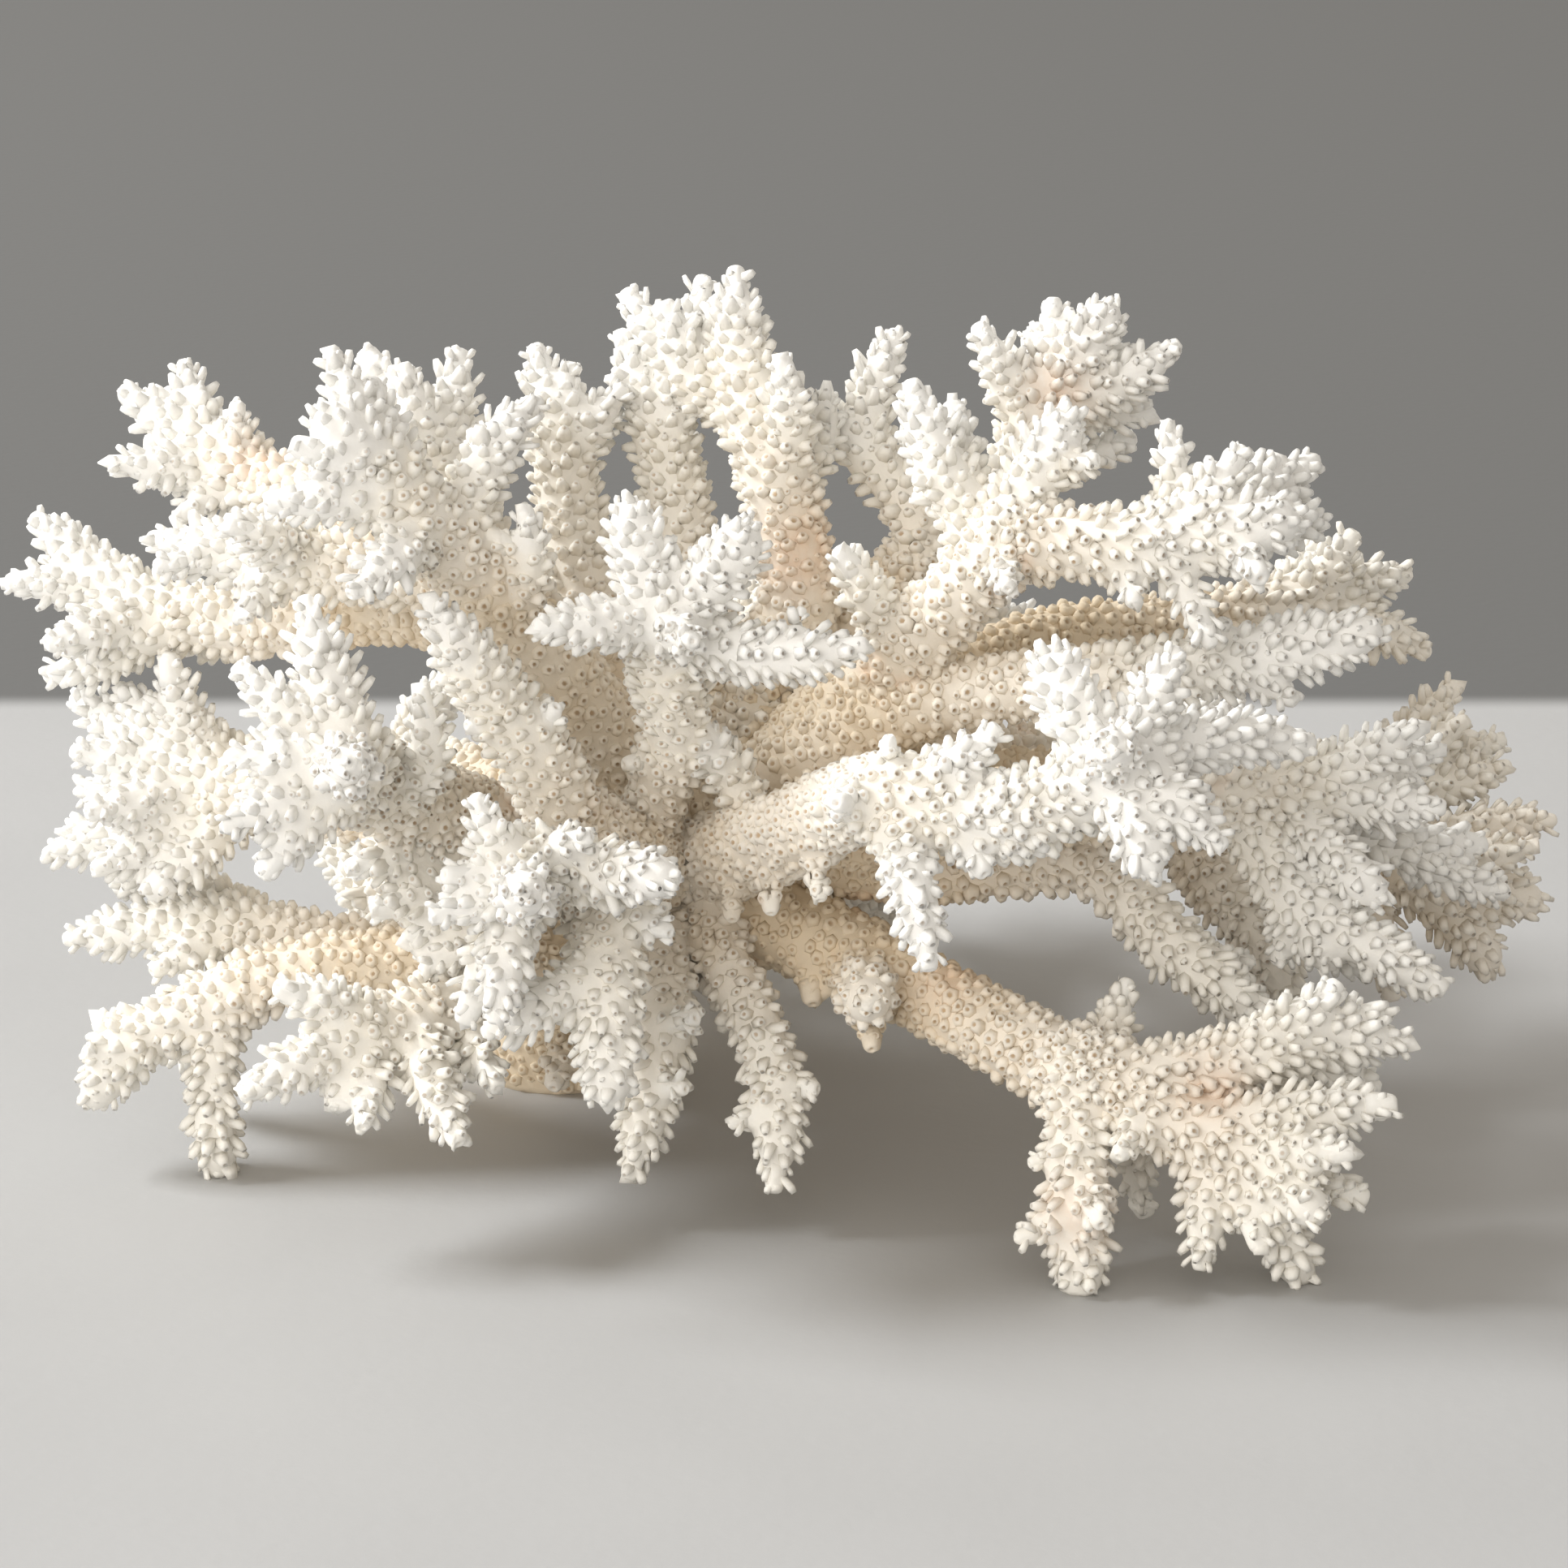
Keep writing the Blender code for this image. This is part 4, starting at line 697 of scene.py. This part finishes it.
# %% [markdown]
# ## How far from the skin
# To grow branches together, each place needs its depth: how far it lies outside a branch's skin. The least
# depth over all branches gives a plain union with sharp creases. Adding the branches softly instead, with
# -k log(sum of exp(-depth / k)), fills the creases as the coral does.

# %% Depth to branches
FORK_BLEND = 0.8
JOINT_BLEND = 1.1
MOST_FILLET = 0.9
REACH_SPARE = 2.0
FAR_OFF = 9.0


def unit(vectors):
    return vectors / np.maximum(np.linalg.norm(vectors, axis=-1, keepdims=True), 1e-9)


def depth_to_branch(points, branch):
    """Distance to the nearest piece of the axis, less the skin's radius there; the way straight out; and the
    length along the branch."""
    start, end = branch.axis[:-1], branch.axis[1:]
    run = end - start
    share = np.einsum("mkj,kj->mk", points[:, None] - start, run) / (run**2).sum(1)
    share = np.clip(share, 0, 1)
    out = points[:, None] - (start + share[..., None] * run)
    far = np.linalg.norm(out, axis=2)
    depth = far - (branch.skin[:-1] + share * np.diff(branch.skin))
    row, nearest = np.arange(len(points)), depth.argmin(1)
    along = branch.along[nearest] + share[row, nearest] * np.diff(branch.along)[nearest]
    return depth[row, nearest], unit(out[row, nearest]), along


def depth_to_limb(points, branches, blend=FORK_BLEND):
    """Soft union of the branches: -k log(sum of exp(-depth / k)), and the outward way, weighted the same."""
    depths, ways, _ = map(np.array, zip(*[depth_to_branch(points, branch) for branch in branches]))
    least = depths.min(0)
    weight = np.exp((least - depths) / blend)
    way = unit((weight[..., None] * ways).sum(0))
    return least - blend * np.log(weight.sum(0)), way


def limb_reach(branches, spare):
    """The box round a limb's branches, with some spare room."""
    axis = np.vstack([branch.axis for branch in branches])
    room = max(branch.outer.max() for branch in branches) + spare
    return axis.min(0) - room, axis.max(0) + room


reaches = {name: limb_reach(branches, REACH_SPARE) for name, branches in limbs.items()}


def depth_to_others(points, name):
    """Least depth to any branch of the other limbs, and a large one where there is none near."""
    depth = np.full(len(points), FAR_OFF)
    low, high = points.min(0), points.max(0)
    for other, branches in limbs.items():
        if other == name or (reaches[other][0] > high).any() or (reaches[other][1] < low).any():
            continue
        near = ((points > reaches[other][0]) & (points < reaches[other][1])).all(1)
        if near.any():
            found = np.min([depth_to_branch(points[near], branch)[0] for branch in branches], axis=0)
            depth[near] = np.minimum(depth[near], found)
    return depth


def fillet(points, name):
    """How far the skin swells where it meets another limb: k log(1 + exp(-depth / k)), up to a limit."""
    depth = depth_to_others(points, name)
    swell = JOINT_BLEND * np.log1p(np.exp(-depth / JOINT_BLEND))
    return np.minimum(swell, MOST_FILLET)


print("depth, soft union and fillets")

# %% [markdown]
# ## The skin
# Each branch is a circle carried along its axis, closed at both ends. A voxel remesh turns a limb's tubes into
# one closed skin, and three steps along the outward way put every point exactly on the soft union.

# %% Skin of one limb
TUBE_SIDES = 12
CAP_RISE = 0.6
SKIN_GRAIN = 1.9


def across_axes(heading):
    """Two axes square to each heading, from one reference that is the least in line with the branch."""
    reference = np.eye(3)[np.abs(heading.mean(0)).argmin()]
    first = unit(np.cross(reference, heading))
    return first, np.cross(heading, first)


def tube(branch):
    """Place (ring i, side j) = axis_i + skin_i (u_i cos a_j + v_i sin a_j), with a point at each end."""
    angle = np.linspace(0, 2 * math.pi, TUBE_SIDES, endpoint=False)
    u, v = across_axes(branch.heading)
    rim = u[:, None] * np.cos(angle)[None, :, None] + v[:, None] * np.sin(angle)[None, :, None]
    wall = (branch.axis[:, None] + branch.skin[:, None, None] * rim).reshape(-1, 3)
    rise = np.array([[-CAP_RISE], [CAP_RISE]])
    ends = branch.axis[[0, -1]] + branch.heading[[0, -1]] * branch.skin[[0, -1], None] * rise
    side = np.arange(TUBE_SIDES)
    after = (side + 1) % TUBE_SIDES
    ring = np.arange(len(branch.axis) - 1)[:, None] * TUBE_SIDES
    low, low_next = (ring + side).ravel(), (ring + after).ravel()
    quads = np.column_stack([low, low_next, low_next + TUBE_SIDES, low + TUBE_SIDES])
    last = (len(branch.axis) - 1) * TUBE_SIDES
    root_fan = np.column_stack([np.full(TUBE_SIDES, len(wall)), after, side])
    tip_fan = np.column_stack([np.full(TUBE_SIDES, len(wall) + 1), last + side, last + after])
    return np.vstack([wall, ends]), [*quads.tolist(), *root_fan.tolist(), *tip_fan.tolist()]


def remeshed(name, points, faces, grain):
    """The closed skin round some tubes, from Blender's voxel remesh."""
    mesh = bpy.data.meshes.new(name)
    mesh.from_pydata((points * MM).tolist(), [], faces)
    obj = bpy.data.objects.new(name, mesh)
    bpy.context.scene.collection.objects.link(obj)
    skin = obj.modifiers.new("skin", "REMESH")
    skin.mode = "VOXEL"
    skin.voxel_size = grain * MM
    result = bpy.data.meshes.new_from_object(obj.evaluated_get(bpy.context.evaluated_depsgraph_get()))
    bpy.data.objects.remove(obj)
    bpy.data.meshes.remove(mesh)
    return result


def cut_flat(mesh):
    """Takes away what lies under the floor, and closes the cut."""
    shape = bmesh.new()
    shape.from_mesh(mesh)
    if min(vert.co.z for vert in shape.verts) < 0:
        geometry = shape.verts[:] + shape.edges[:] + shape.faces[:]
        cut = bmesh.ops.bisect_plane(
            shape, geom=geometry, dist=1e-7, plane_co=(0, 0, 0), plane_no=(0, 0, 1), clear_inner=True
        )
        edges = [e for e in cut["geom_cut"] if isinstance(e, bmesh.types.BMEdge)]
        bmesh.ops.holes_fill(shape, edges=edges)
    bmesh.ops.triangulate(shape, faces=shape.faces)
    shape.to_mesh(mesh)
    shape.free()


def grow_skin(name):
    """The limb's skin as points in millimetres and triangles."""
    branches = limbs[name]
    points, faces, count = [], [], 0
    for branch in branches:
        tube_points, tube_faces = tube(branch)
        points.append(tube_points)
        faces += [[index + count for index in face] for face in tube_faces]
        count += len(tube_points)
    mesh = remeshed(name, np.vstack(points), faces, SKIN_GRAIN)
    place = np.empty(len(mesh.vertices) * 3, np.float32)
    mesh.vertices.foreach_get("co", place)
    place = place.reshape(-1, 3).astype(float) / MM
    for _ in range(3):
        depth, way = depth_to_limb(place, branches)
        place -= way * depth[:, None]
    place += way * fillet(place, name)[:, None]
    mesh.vertices.foreach_set("co", (place * MM).ravel())
    cut_flat(mesh)
    place = np.empty(len(mesh.vertices) * 3, np.float32)
    mesh.vertices.foreach_get("co", place)
    mesh.calc_loop_triangles()
    triangles = np.empty(len(mesh.loop_triangles) * 3, np.int32)
    mesh.loop_triangles.foreach_get("vertices", triangles)
    bpy.data.meshes.remove(mesh)
    return place.reshape(-1, 3).astype(float) / MM, triangles.reshape(-1, 3)


print("a limb's skin is one closed surface")

# %% [markdown]
# ## Each place's branch
# Every place on the skin belongs to the nearest branch, and takes its heading, its distance to the tip and its
# age from there. Age is 0 at a growing tip and 1 in the old heart.

# %% Growth at a place
OLD_AT, YOUNG_AT = 74.0, 5.0


def growth(points, name):
    """Heading of the nearest branch, distance to its tip in mm, and age, for every point."""
    branches = limbs[name]
    found = [depth_to_branch(points, branch) for branch in branches]
    nearest = np.argmin([depth for depth, _, _ in found], axis=0)
    heading, to_tip, grown = np.zeros((len(points), 3)), np.full(len(points), 99.0), np.zeros(len(points))
    for order, branch in enumerate(branches):
        mine = nearest == order
        along = found[order][2][mine]
        heading[mine] = branch.at(branch.heading, along)
        if branch.free:
            to_tip[mine] = branch.along[-1] - along
        grown[mine] = np.interp(along, branch.along, branch.grown)
    return unit(heading), to_tip, np.clip((grown - YOUNG_AT) / (OLD_AT - YOUNG_AT), 0, 1)


print("age is known everywhere")

# %% [markdown]
# ## Where the cups stand
# Darts thrown at the skin land anywhere. A dart stays when no dart before it stays nearer than the spacing,
# which covers every fork and hollow evenly, but without rows. First come the big cups, and then small ones in
# the gaps that are left.

# %% Cup places
THROWS = 1.5
BIG_SPACING, SMALL_SPACING = 1.95, 1.5
TIP_CLEAR = 1.4
FLOOR_CLEAR = 0.9
BURIED = -0.4


def thrown(points, triangles, random):
    """Places a + s (b - a) + t (c - a) on triangles picked by their area, some to each square millimetre."""
    a, b, c = (points[triangles[:, corner]] for corner in range(3))
    area = np.linalg.norm(np.cross(b - a, c - a), axis=1) / 2
    count = int(area.sum() * THROWS)
    pick = random.choice(len(triangles), count, p=area / area.sum())
    s, t = random.uniform(0, 1, (2, count, 1))
    s, t = np.where(s + t > 1, 1 - s, s), np.where(s + t > 1, 1 - t, t)
    return a[pick] + (b - a)[pick] * s + (c - a)[pick] * t


def squared_gaps(first, second):
    """|p - q|^2 = |p|^2 + |q|^2 - 2 p.q for every pair."""
    return (first**2).sum(1)[:, None] + (second**2).sum(1) - 2 * first @ second.T


def spread(points, spacing):
    """Which points stay: round by round, each one with no waiting one before it within the spacing."""
    near = np.tri(len(points), k=-1, dtype=bool) & (squared_gaps(points, points) < spacing**2)
    later, earlier = np.nonzero(near)
    waiting, kept = np.ones(len(points), bool), np.zeros(len(points), bool)
    while waiting.any():
        first = waiting.copy()
        first[later[waiting[later] & waiting[earlier]]] = False
        kept |= first
        waiting &= ~first
        waiting[later[first[earlier]]] = False
    return kept


def cup_places(name, skin, triangles, random):
    """Foot, outward way, heading, distance to the tip and age, of the big cups and then of the small ones."""
    darts = np.vstack([collar_darts(name, random), thrown(skin, triangles, random)])
    _, to_tip, _ = growth(darts, name)
    clear = (to_tip > TIP_CLEAR) & (darts[:, 2] > FLOOR_CLEAR)
    darts = darts[clear & (depth_to_others(darts, name) > BURIED)]
    if len(darts) == 0:
        return []
    big = darts[spread(darts, BIG_SPACING)]
    rest = darts[squared_gaps(darts, big).min(1) > (0.5 * (BIG_SPACING + SMALL_SPACING)) ** 2]
    small = rest[spread(rest, SMALL_SPACING)]
    return [(foot, depth_to_limb(foot, limbs[name])[1], *growth(foot, name)) for foot in (big, small)]


print("cups stand at least", BIG_SPACING, "mm apart, small ones", SMALL_SPACING, "mm")

# %% [markdown]
# ## Turned shapes, thousands at once
# A cup is a short tube with a thick, rounded lip round a small pit. Each one is turned round its own axis, and
# its foot is laid flat on the skin however far it leans. All cups of a limb are worked out in one go.

# %% Turned shapes
UNEVEN = 0.08


def turned(centre, axis, radius, pit, sides, random, way=None, flat=None):
    """Ring k of shape m = centre_mk + radius_mk spoke_j, where spoke_j = u cos a_j + v sin a_j, less the share
    flat_k of its part along the way out. A fan closes the first ring, and the pit closes the last."""
    count, rings = radius.shape
    u = unit(np.cross(axis, np.eye(3)[np.abs(axis).argmin(1)]))
    v = np.cross(axis, u)
    angle = np.arange(sides) * 2 * math.pi / sides + random.uniform(0, 2, count)[:, None]
    spoke = u[:, None] * np.cos(angle)[..., None] + v[:, None] * np.sin(angle)[..., None]
    spoke = np.repeat(spoke[:, None], rings, axis=1)
    if way is not None:
        outward = np.einsum("mkjc,mc->mkj", spoke, way)
        spoke = spoke - (outward * flat[None, :, None])[..., None] * way[:, None, None]
    uneven = 1 + random.normal(0, UNEVEN, (count, 1, sides))
    points = (centre[:, :, None] + (radius[..., None] * uneven)[..., None] * spoke).reshape(count, -1, 3)
    points = np.concatenate([points, pit[:, None]], axis=1)
    side = np.arange(sides)
    after = (side + 1) % sides
    faces = [np.column_stack([np.zeros(sides - 2, int), side[2:], side[1:-1]])]
    for low in range(0, (rings - 1) * sides, sides):
        faces += [np.column_stack([low + side, low + after, low + sides + after]),
                  np.column_stack([low + side, low + sides + after, low + sides + side])]
    last = (rings - 1) * sides
    faces.append(np.column_stack([last + side, last + after, np.full(sides, last + sides)]))
    shape = np.vstack(faces)
    faces = shape[None] + (np.arange(count) * points.shape[1])[:, None, None]
    return points.reshape(-1, 3), faces.reshape(-1, 3)


BIG_SIDES, SMALL_SIDES = 6, 5
BIG_PIT, SMALL_PIT = 0.8, 0.5
SMALL_WIDTH, SMALL_HEIGHT = 0.66, 0.55
#                       foot  wall  lip
BIG_PROFILE = np.array([1.52, 1.0, 0.53])
BIG_FLAT = np.array([1.0, 0.35, 0.0])
SMALL_PROFILE = np.array([1.6, 0.6])
SMALL_FLAT = np.array([1.0, 0.2])
FOOT_DEPTH = 0.35
# Painted shade in the creases between the cups: on the skin and on each cup's foot ring.
BETWEEN_CUPS_SHADE = 0.1
WALL_RISE = 0.66
TIP_RANGE = 6.0
#        young   more when old   more near the tip
WIDTH = (0.8, 0.15, -0.08)
HEIGHT = (2.25, -1.4, -0.6)
LEAN = (47, -24, 15)
WIDTH_CHANCE, HEIGHT_CHANCE, LEAN_CHANCE, AXIS_CHANCE = 0.11, 0.18, 0.14, 0.12


def cups(foot, way, heading, to_tip, age, random, is_big):
    """Cups that lean from straight out toward the tip: long and steep when young, low rings when old. Each
    measure is young + change * old + change * near_tip, times or plus some chance."""
    count = len(foot)
    old = age * age * (3 - 2 * age)
    near_tip = np.clip(1 - (to_tip - TIP_CLEAR) / TIP_RANGE, 0, 1)
    measures = (WIDTH, HEIGHT, LEAN)
    wide, height, lean = (start + more * old + at_tip * near_tip for start, more, at_tip in measures)
    wide = wide * np.exp(random.normal(0, WIDTH_CHANCE, count))
    height = height * np.exp(random.normal(0, HEIGHT_CHANCE, count))
    if not is_big:
        wide, height = wide * SMALL_WIDTH, height * SMALL_HEIGHT
    lean = np.radians(lean) + random.normal(0, LEAN_CHANCE, count)
    tipward = unit(heading - way * (heading * way).sum(1, keepdims=True))
    axis = way * np.cos(lean)[:, None] + tipward * np.sin(lean)[:, None]
    axis = unit(axis + random.normal(0, AXIS_CHANCE, (count, 3)))
    top = foot + axis * height[:, None]
    if is_big:
        wall = foot + axis * (height * WALL_RISE)[:, None]
        centre = np.stack([foot - way * FOOT_DEPTH, wall, top], axis=1)
        profile, flat, sides, deep = BIG_PROFILE, BIG_FLAT, BIG_SIDES, BIG_PIT
    else:
        centre = np.stack([foot - way * FOOT_DEPTH, top], axis=1)
        profile, flat, sides, deep = SMALL_PROFILE, SMALL_FLAT, SMALL_SIDES, SMALL_PIT
    pit = top - axis * deep
    points, faces = turned(centre, axis, profile * wide[:, None], pit, sides, random, way, flat)
    # Painted shade weights: a little on the foot ring, full at the bottom of the pit.
    shade_and_tone = np.zeros((count, len(profile) * sides + 1))
    shade_and_tone[:, :sides] = BETWEEN_CUPS_SHADE
    shade_and_tone[:, -1] = 1
    return points, faces, np.repeat(age, shade_and_tone.shape[1]), shade_and_tone.ravel()


print(f"big cups with {BIG_SIDES} sides, small ones with {SMALL_SIDES}")

# %% [markdown]
# ## The big cup at each tip
# Every growing finger ends in one axial corallite that stands clear of the rest: a smooth, thick tube with a
# round lip and a shallow pit. Its rings follow the branch's axis. The skin is too coarse to reach as far, so
# more darts land round each tube, and the common cups crowd up to the lip.

# %% Tip cups
TIP_SIDES = 12
#                       radius  below the tip
TIP_PROFILE = np.array([
    (2.0, 4.6), (1.7, 3.0), (1.55, 1.6), (1.36, 0.7), (1.08, 0.2), (0.74, 0.0), (0.44, 0.2),
])
COLLAR = TIP_PROFILE[4::-1]
TIP_LIP = 5
TIP_PIT = 0.9
# Painted shade at the bottom of a tip cup's pit.
TIP_PIT_SHADE = 0.8
TIP_CHANCE = 0.1
TIP_FLOOR = 1.5
COLLAR_DARTS = 14
COLLAR_START, COLLAR_END = 1.4, 3.6


def collar_darts(name, random):
    """Places round each tip's tube, for cups: axis + radius (u cos a + v sin a), at any length and angle."""
    places = [np.zeros((0, 3))]
    for branch in [branch for branch in limbs[name] if branch.free]:
        below = random.uniform(COLLAR_START, COLLAR_END, COLLAR_DARTS)
        radius = np.interp(below, COLLAR[:, 1], COLLAR[:, 0]) * branch.skin[-1] / TIP_RADIUS
        u, v = across_axes(branch.heading[-1:])
        angle = random.uniform(0, 2 * math.pi, (COLLAR_DARTS, 1))
        axis = branch.at(branch.axis, branch.along[-1] - below)
        places.append(axis + radius[:, None] * (u * np.cos(angle) + v * np.sin(angle)))
    return np.vstack(places)


def tip_cups(name, random):
    """A tip cup for each free branch that doesn't end on the floor."""
    tips = [branch for branch in limbs[name] if branch.free and branch.axis[-1, 2] > TIP_FLOOR]
    if not tips:
        return np.zeros((0, 3)), np.zeros((0, 3), int), np.zeros(0), np.zeros(0)
    scale = np.array([branch.skin[-1] for branch in tips]) / TIP_RADIUS
    below = TIP_PROFILE[:, 1]
    along = [branch.along[-1] - below * s**2 for branch, s in zip(tips, scale)]
    centre = np.array([branch.at(branch.axis, lengths) for branch, lengths in zip(tips, along)])
    heading = np.array([branch.heading[-1] for branch in tips])
    radius = TIP_PROFILE[:, 0] * scale[:, None] * np.exp(random.normal(0, TIP_CHANCE, (len(tips), 1)))
    pit = centre[:, TIP_LIP] - heading * TIP_PIT * scale[:, None]
    points, faces = turned(centre, heading, radius, pit, TIP_SIDES, random)
    shade_and_tone = np.zeros((len(tips), len(below) * TIP_SIDES + 1))
    shade_and_tone[:, -1] = TIP_PIT_SHADE
    return points, faces, np.repeat(growth(centre[:, TIP_LIP], name)[2], shade_and_tone.shape[1]), shade_and_tone.ravel()


print("a turned cup for each tip")

# %% [markdown]
# ## The finish
# Bleached coral is chalk: matt, and white where it grew last. Toward the heart and low down it goes cream and
# tan; in the heart that is partly its own colour and partly painted shade and warm bounced light of the deep
# recesses. There are a few rusty stains, and painted brown shade in each cup's pit and in the creases between
# the cups. The age of every point is stored with the mesh, so the colour follows the branches and not the room.

# %% Coral finish
CLOUD_SIZE, BLOTCH_SIZE, GRAIN_SIZE = 22.0, 14.0, 1.4
LOW_HEIGHT = 0.06
PATCHINESS, GRAININESS, LOW_TAN = 0.9, 0.14, 0.2
WHITE = (0.94, 0.93, 0.90)
WARM_WHITE = (0.93, 0.90, 0.83)
CREAM = (0.92, 0.865, 0.775)
TAN = (0.82, 0.70, 0.53)
# Brown painted shade for the pits and the creases between the cups.
PIT_SHADE_BROWN = (0.60, 0.43, 0.26, 1)
RUST = (0.80, 0.50, 0.30, 1)


def coral_finish(name):
    """Colour: an age ramp with cloudy noise, rust in blotches and stains, painted shade in pits and between
    cups.
    """
    finish = Finish(name)
    place = finish.node("ShaderNodeTexCoord").out("Object")
    # Below LOW_HEIGHT the colour moves further toward tan, the more the nearer the floor.
    low = 1 - finish.node("ShaderNodeSeparateXYZ", {}, {0: place}).out(2).above(0.0, LOW_HEIGHT)
    age = finish.node("ShaderNodeAttribute", {"attribute_name": "age"}).out("Fac")
    pit = finish.node("ShaderNodeAttribute", {"attribute_name": "pit"}).out("Fac")
    clouds = finish.noise(place, CLOUD_SIZE)
    grain = finish.noise(place, GRAIN_SIZE, 3.0)
    patches = age.above(0.0, 0.3) * (clouds - 0.5) * PATCHINESS
    toward_tan = age + patches + (grain - 0.5) * GRAININESS + low * LOW_TAN
    # White tips to a tan heart: the tan is partly the coral's own colour and partly painted shade and warm
    # bounced light of the deep recesses near the trunk.
    stops = [(0.0, WHITE), (0.2, WARM_WHITE), (0.55, CREAM), (1.0, TAN)]
    colour = finish.node("ShaderNodeValToRGB", {"stops": stops}, {0: toward_tan}).out(0)
    stain = finish.node("ShaderNodeAttribute", {"attribute_name": "stain"}).out("Fac")
    blotch = finish.noise(place, BLOTCH_SIZE, 3.0).above(0.62, 0.74) * age.above(0.2, 0.6) * 0.3
    colour = finish.mix(blotch + stain * (0.15 + 0.5 * grain), colour, RUST)
    # Painted shade: brown toward each cup's pit and, a little, between the cups, more on old parts.
    colour = finish.mix(pit.above(0.0, 0.6) * (0.4 + 0.5 * age.above(0.0, 0.5)), colour, PIT_SHADE_BROWN)
    bump = finish.node("ShaderNodeBump", {}, {"Height": grain, "Distance": 0.0002, "Strength": 0.7})
    return finish.surface({"Base Color": colour, "Roughness": 0.8 + 0.15 * grain, "Normal": bump.out(0)})


coral = coral_finish("bleached_coral")
print("one finish for all limbs, led by age and pit")

# %% [markdown]
# ## Putting a limb together
# Skin, cups and tip cups are joined in one mesh a limb, which stands in place of its imported solid. Some places
# carry a rusty stain, which fades away from its middle as exp(-(distance / size)^2). Limbs at the far right and
# at the back, which lie in the colony's own shade, get painted shade as an older, duller colour, and a few other
# limbs are made paler than their age says.


# %% All limbs
# Positive values are painted shade: the far-right and back limbs lie in the colony's own shade and get an older,
# duller colour. Negative values make a limb paler.
LIMB_SHADE_AND_TONE = {
    "far_right_limb": 0.3, "far_right_low_limb": 0.4, "brown_back_limb": 0.3, "back_right_hanging_limb": 0.2,
    "centre_right_cluster": -0.4, "star_cluster": -0.2, "cream_limb": -0.2, "upper_left_limb": -0.2,
    "left_low_limb": -0.1, "lower_left_limb": -0.1, "centre_cluster": -0.1, "right_upper_limb": -0.1,
}
STAIN_SIZE = 5.0
STAINS = seen([
    (2, 33, -4), (2, 38, -4), (42, 60, -22), (-81, 51, 0), (45, -66, 34), (66, -48, 33), (26, -31, 14),
])


def joined(name, blocks, shade_and_tone):
    """One mesh from blocks of (points, triangles, age, pit shade), all of it older in colour by the limb's shade
    and tone, which may be negative.
    """
    starts = np.cumsum([0] + [len(block[0]) for block in blocks])
    points = np.vstack([block[0] for block in blocks])
    points[:, 2] = np.maximum(points[:, 2], 0)
    triangles = np.vstack([block[1] + start for block, start in zip(blocks, starts)])
    mesh = bpy.data.meshes.new(name)
    mesh.vertices.add(len(points))
    mesh.vertices.foreach_set("co", (points * MM).astype(np.float32).ravel())
    mesh.loops.add(triangles.size)
    mesh.loops.foreach_set("vertex_index", triangles.astype(np.int32).ravel())
    mesh.polygons.add(len(triangles))
    mesh.polygons.foreach_set("loop_start", np.arange(0, triangles.size, 3, dtype=np.int32))
    mesh.update(calc_edges=True)
    mesh.shade_smooth()
    # The stored age also carries each limb's shift: painted shade on the shaded limbs, paler on a few others.
    columns = {"age": np.maximum(np.concatenate([block[2] for block in blocks]) + shade_and_tone, 0)}
    # The pit attribute carries the painted shade of the pits and of the creases between the cups.
    columns["pit"] = np.concatenate([block[3] for block in blocks])
    columns["stain"] = np.exp(-squared_gaps(points, STAINS) / STAIN_SIZE**2).sum(1)
    for attribute, values in columns.items():
        layer = mesh.attributes.new(attribute, "FLOAT", "POINT")
        layer.data.foreach_set("value", values.astype(np.float32))
    mesh.materials.append(coral)
    return mesh


total, number_of_cups = 0, 0
for seed, name in enumerate(limbs):
    random = np.random.default_rng(seed)
    skin, skin_faces = grow_skin(name)
    # The skin between the cups gets a little painted shade.
    skin_age, skin_shade = growth(skin, name)[2], np.full(len(skin), BETWEEN_CUPS_SHADE)
    blocks = [(skin, skin_faces, skin_age, skin_shade), tip_cups(name, random)]
    for is_big, places in zip((True, False), cup_places(name, skin, skin_faces, random)):
        blocks.append(cups(*places, random, is_big))
        number_of_cups += len(places[0])
    piece = bpy.data.objects.new("coral_" + name, joined("coral_" + name, blocks, LIMB_SHADE_AND_TONE.get(name, 0.0)))
    coral_pieces.objects.link(piece)
    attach(piece, "root")
    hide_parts(name)
    total += len(piece.data.polygons)
print(f"{number_of_cups} cups, {total} triangles")
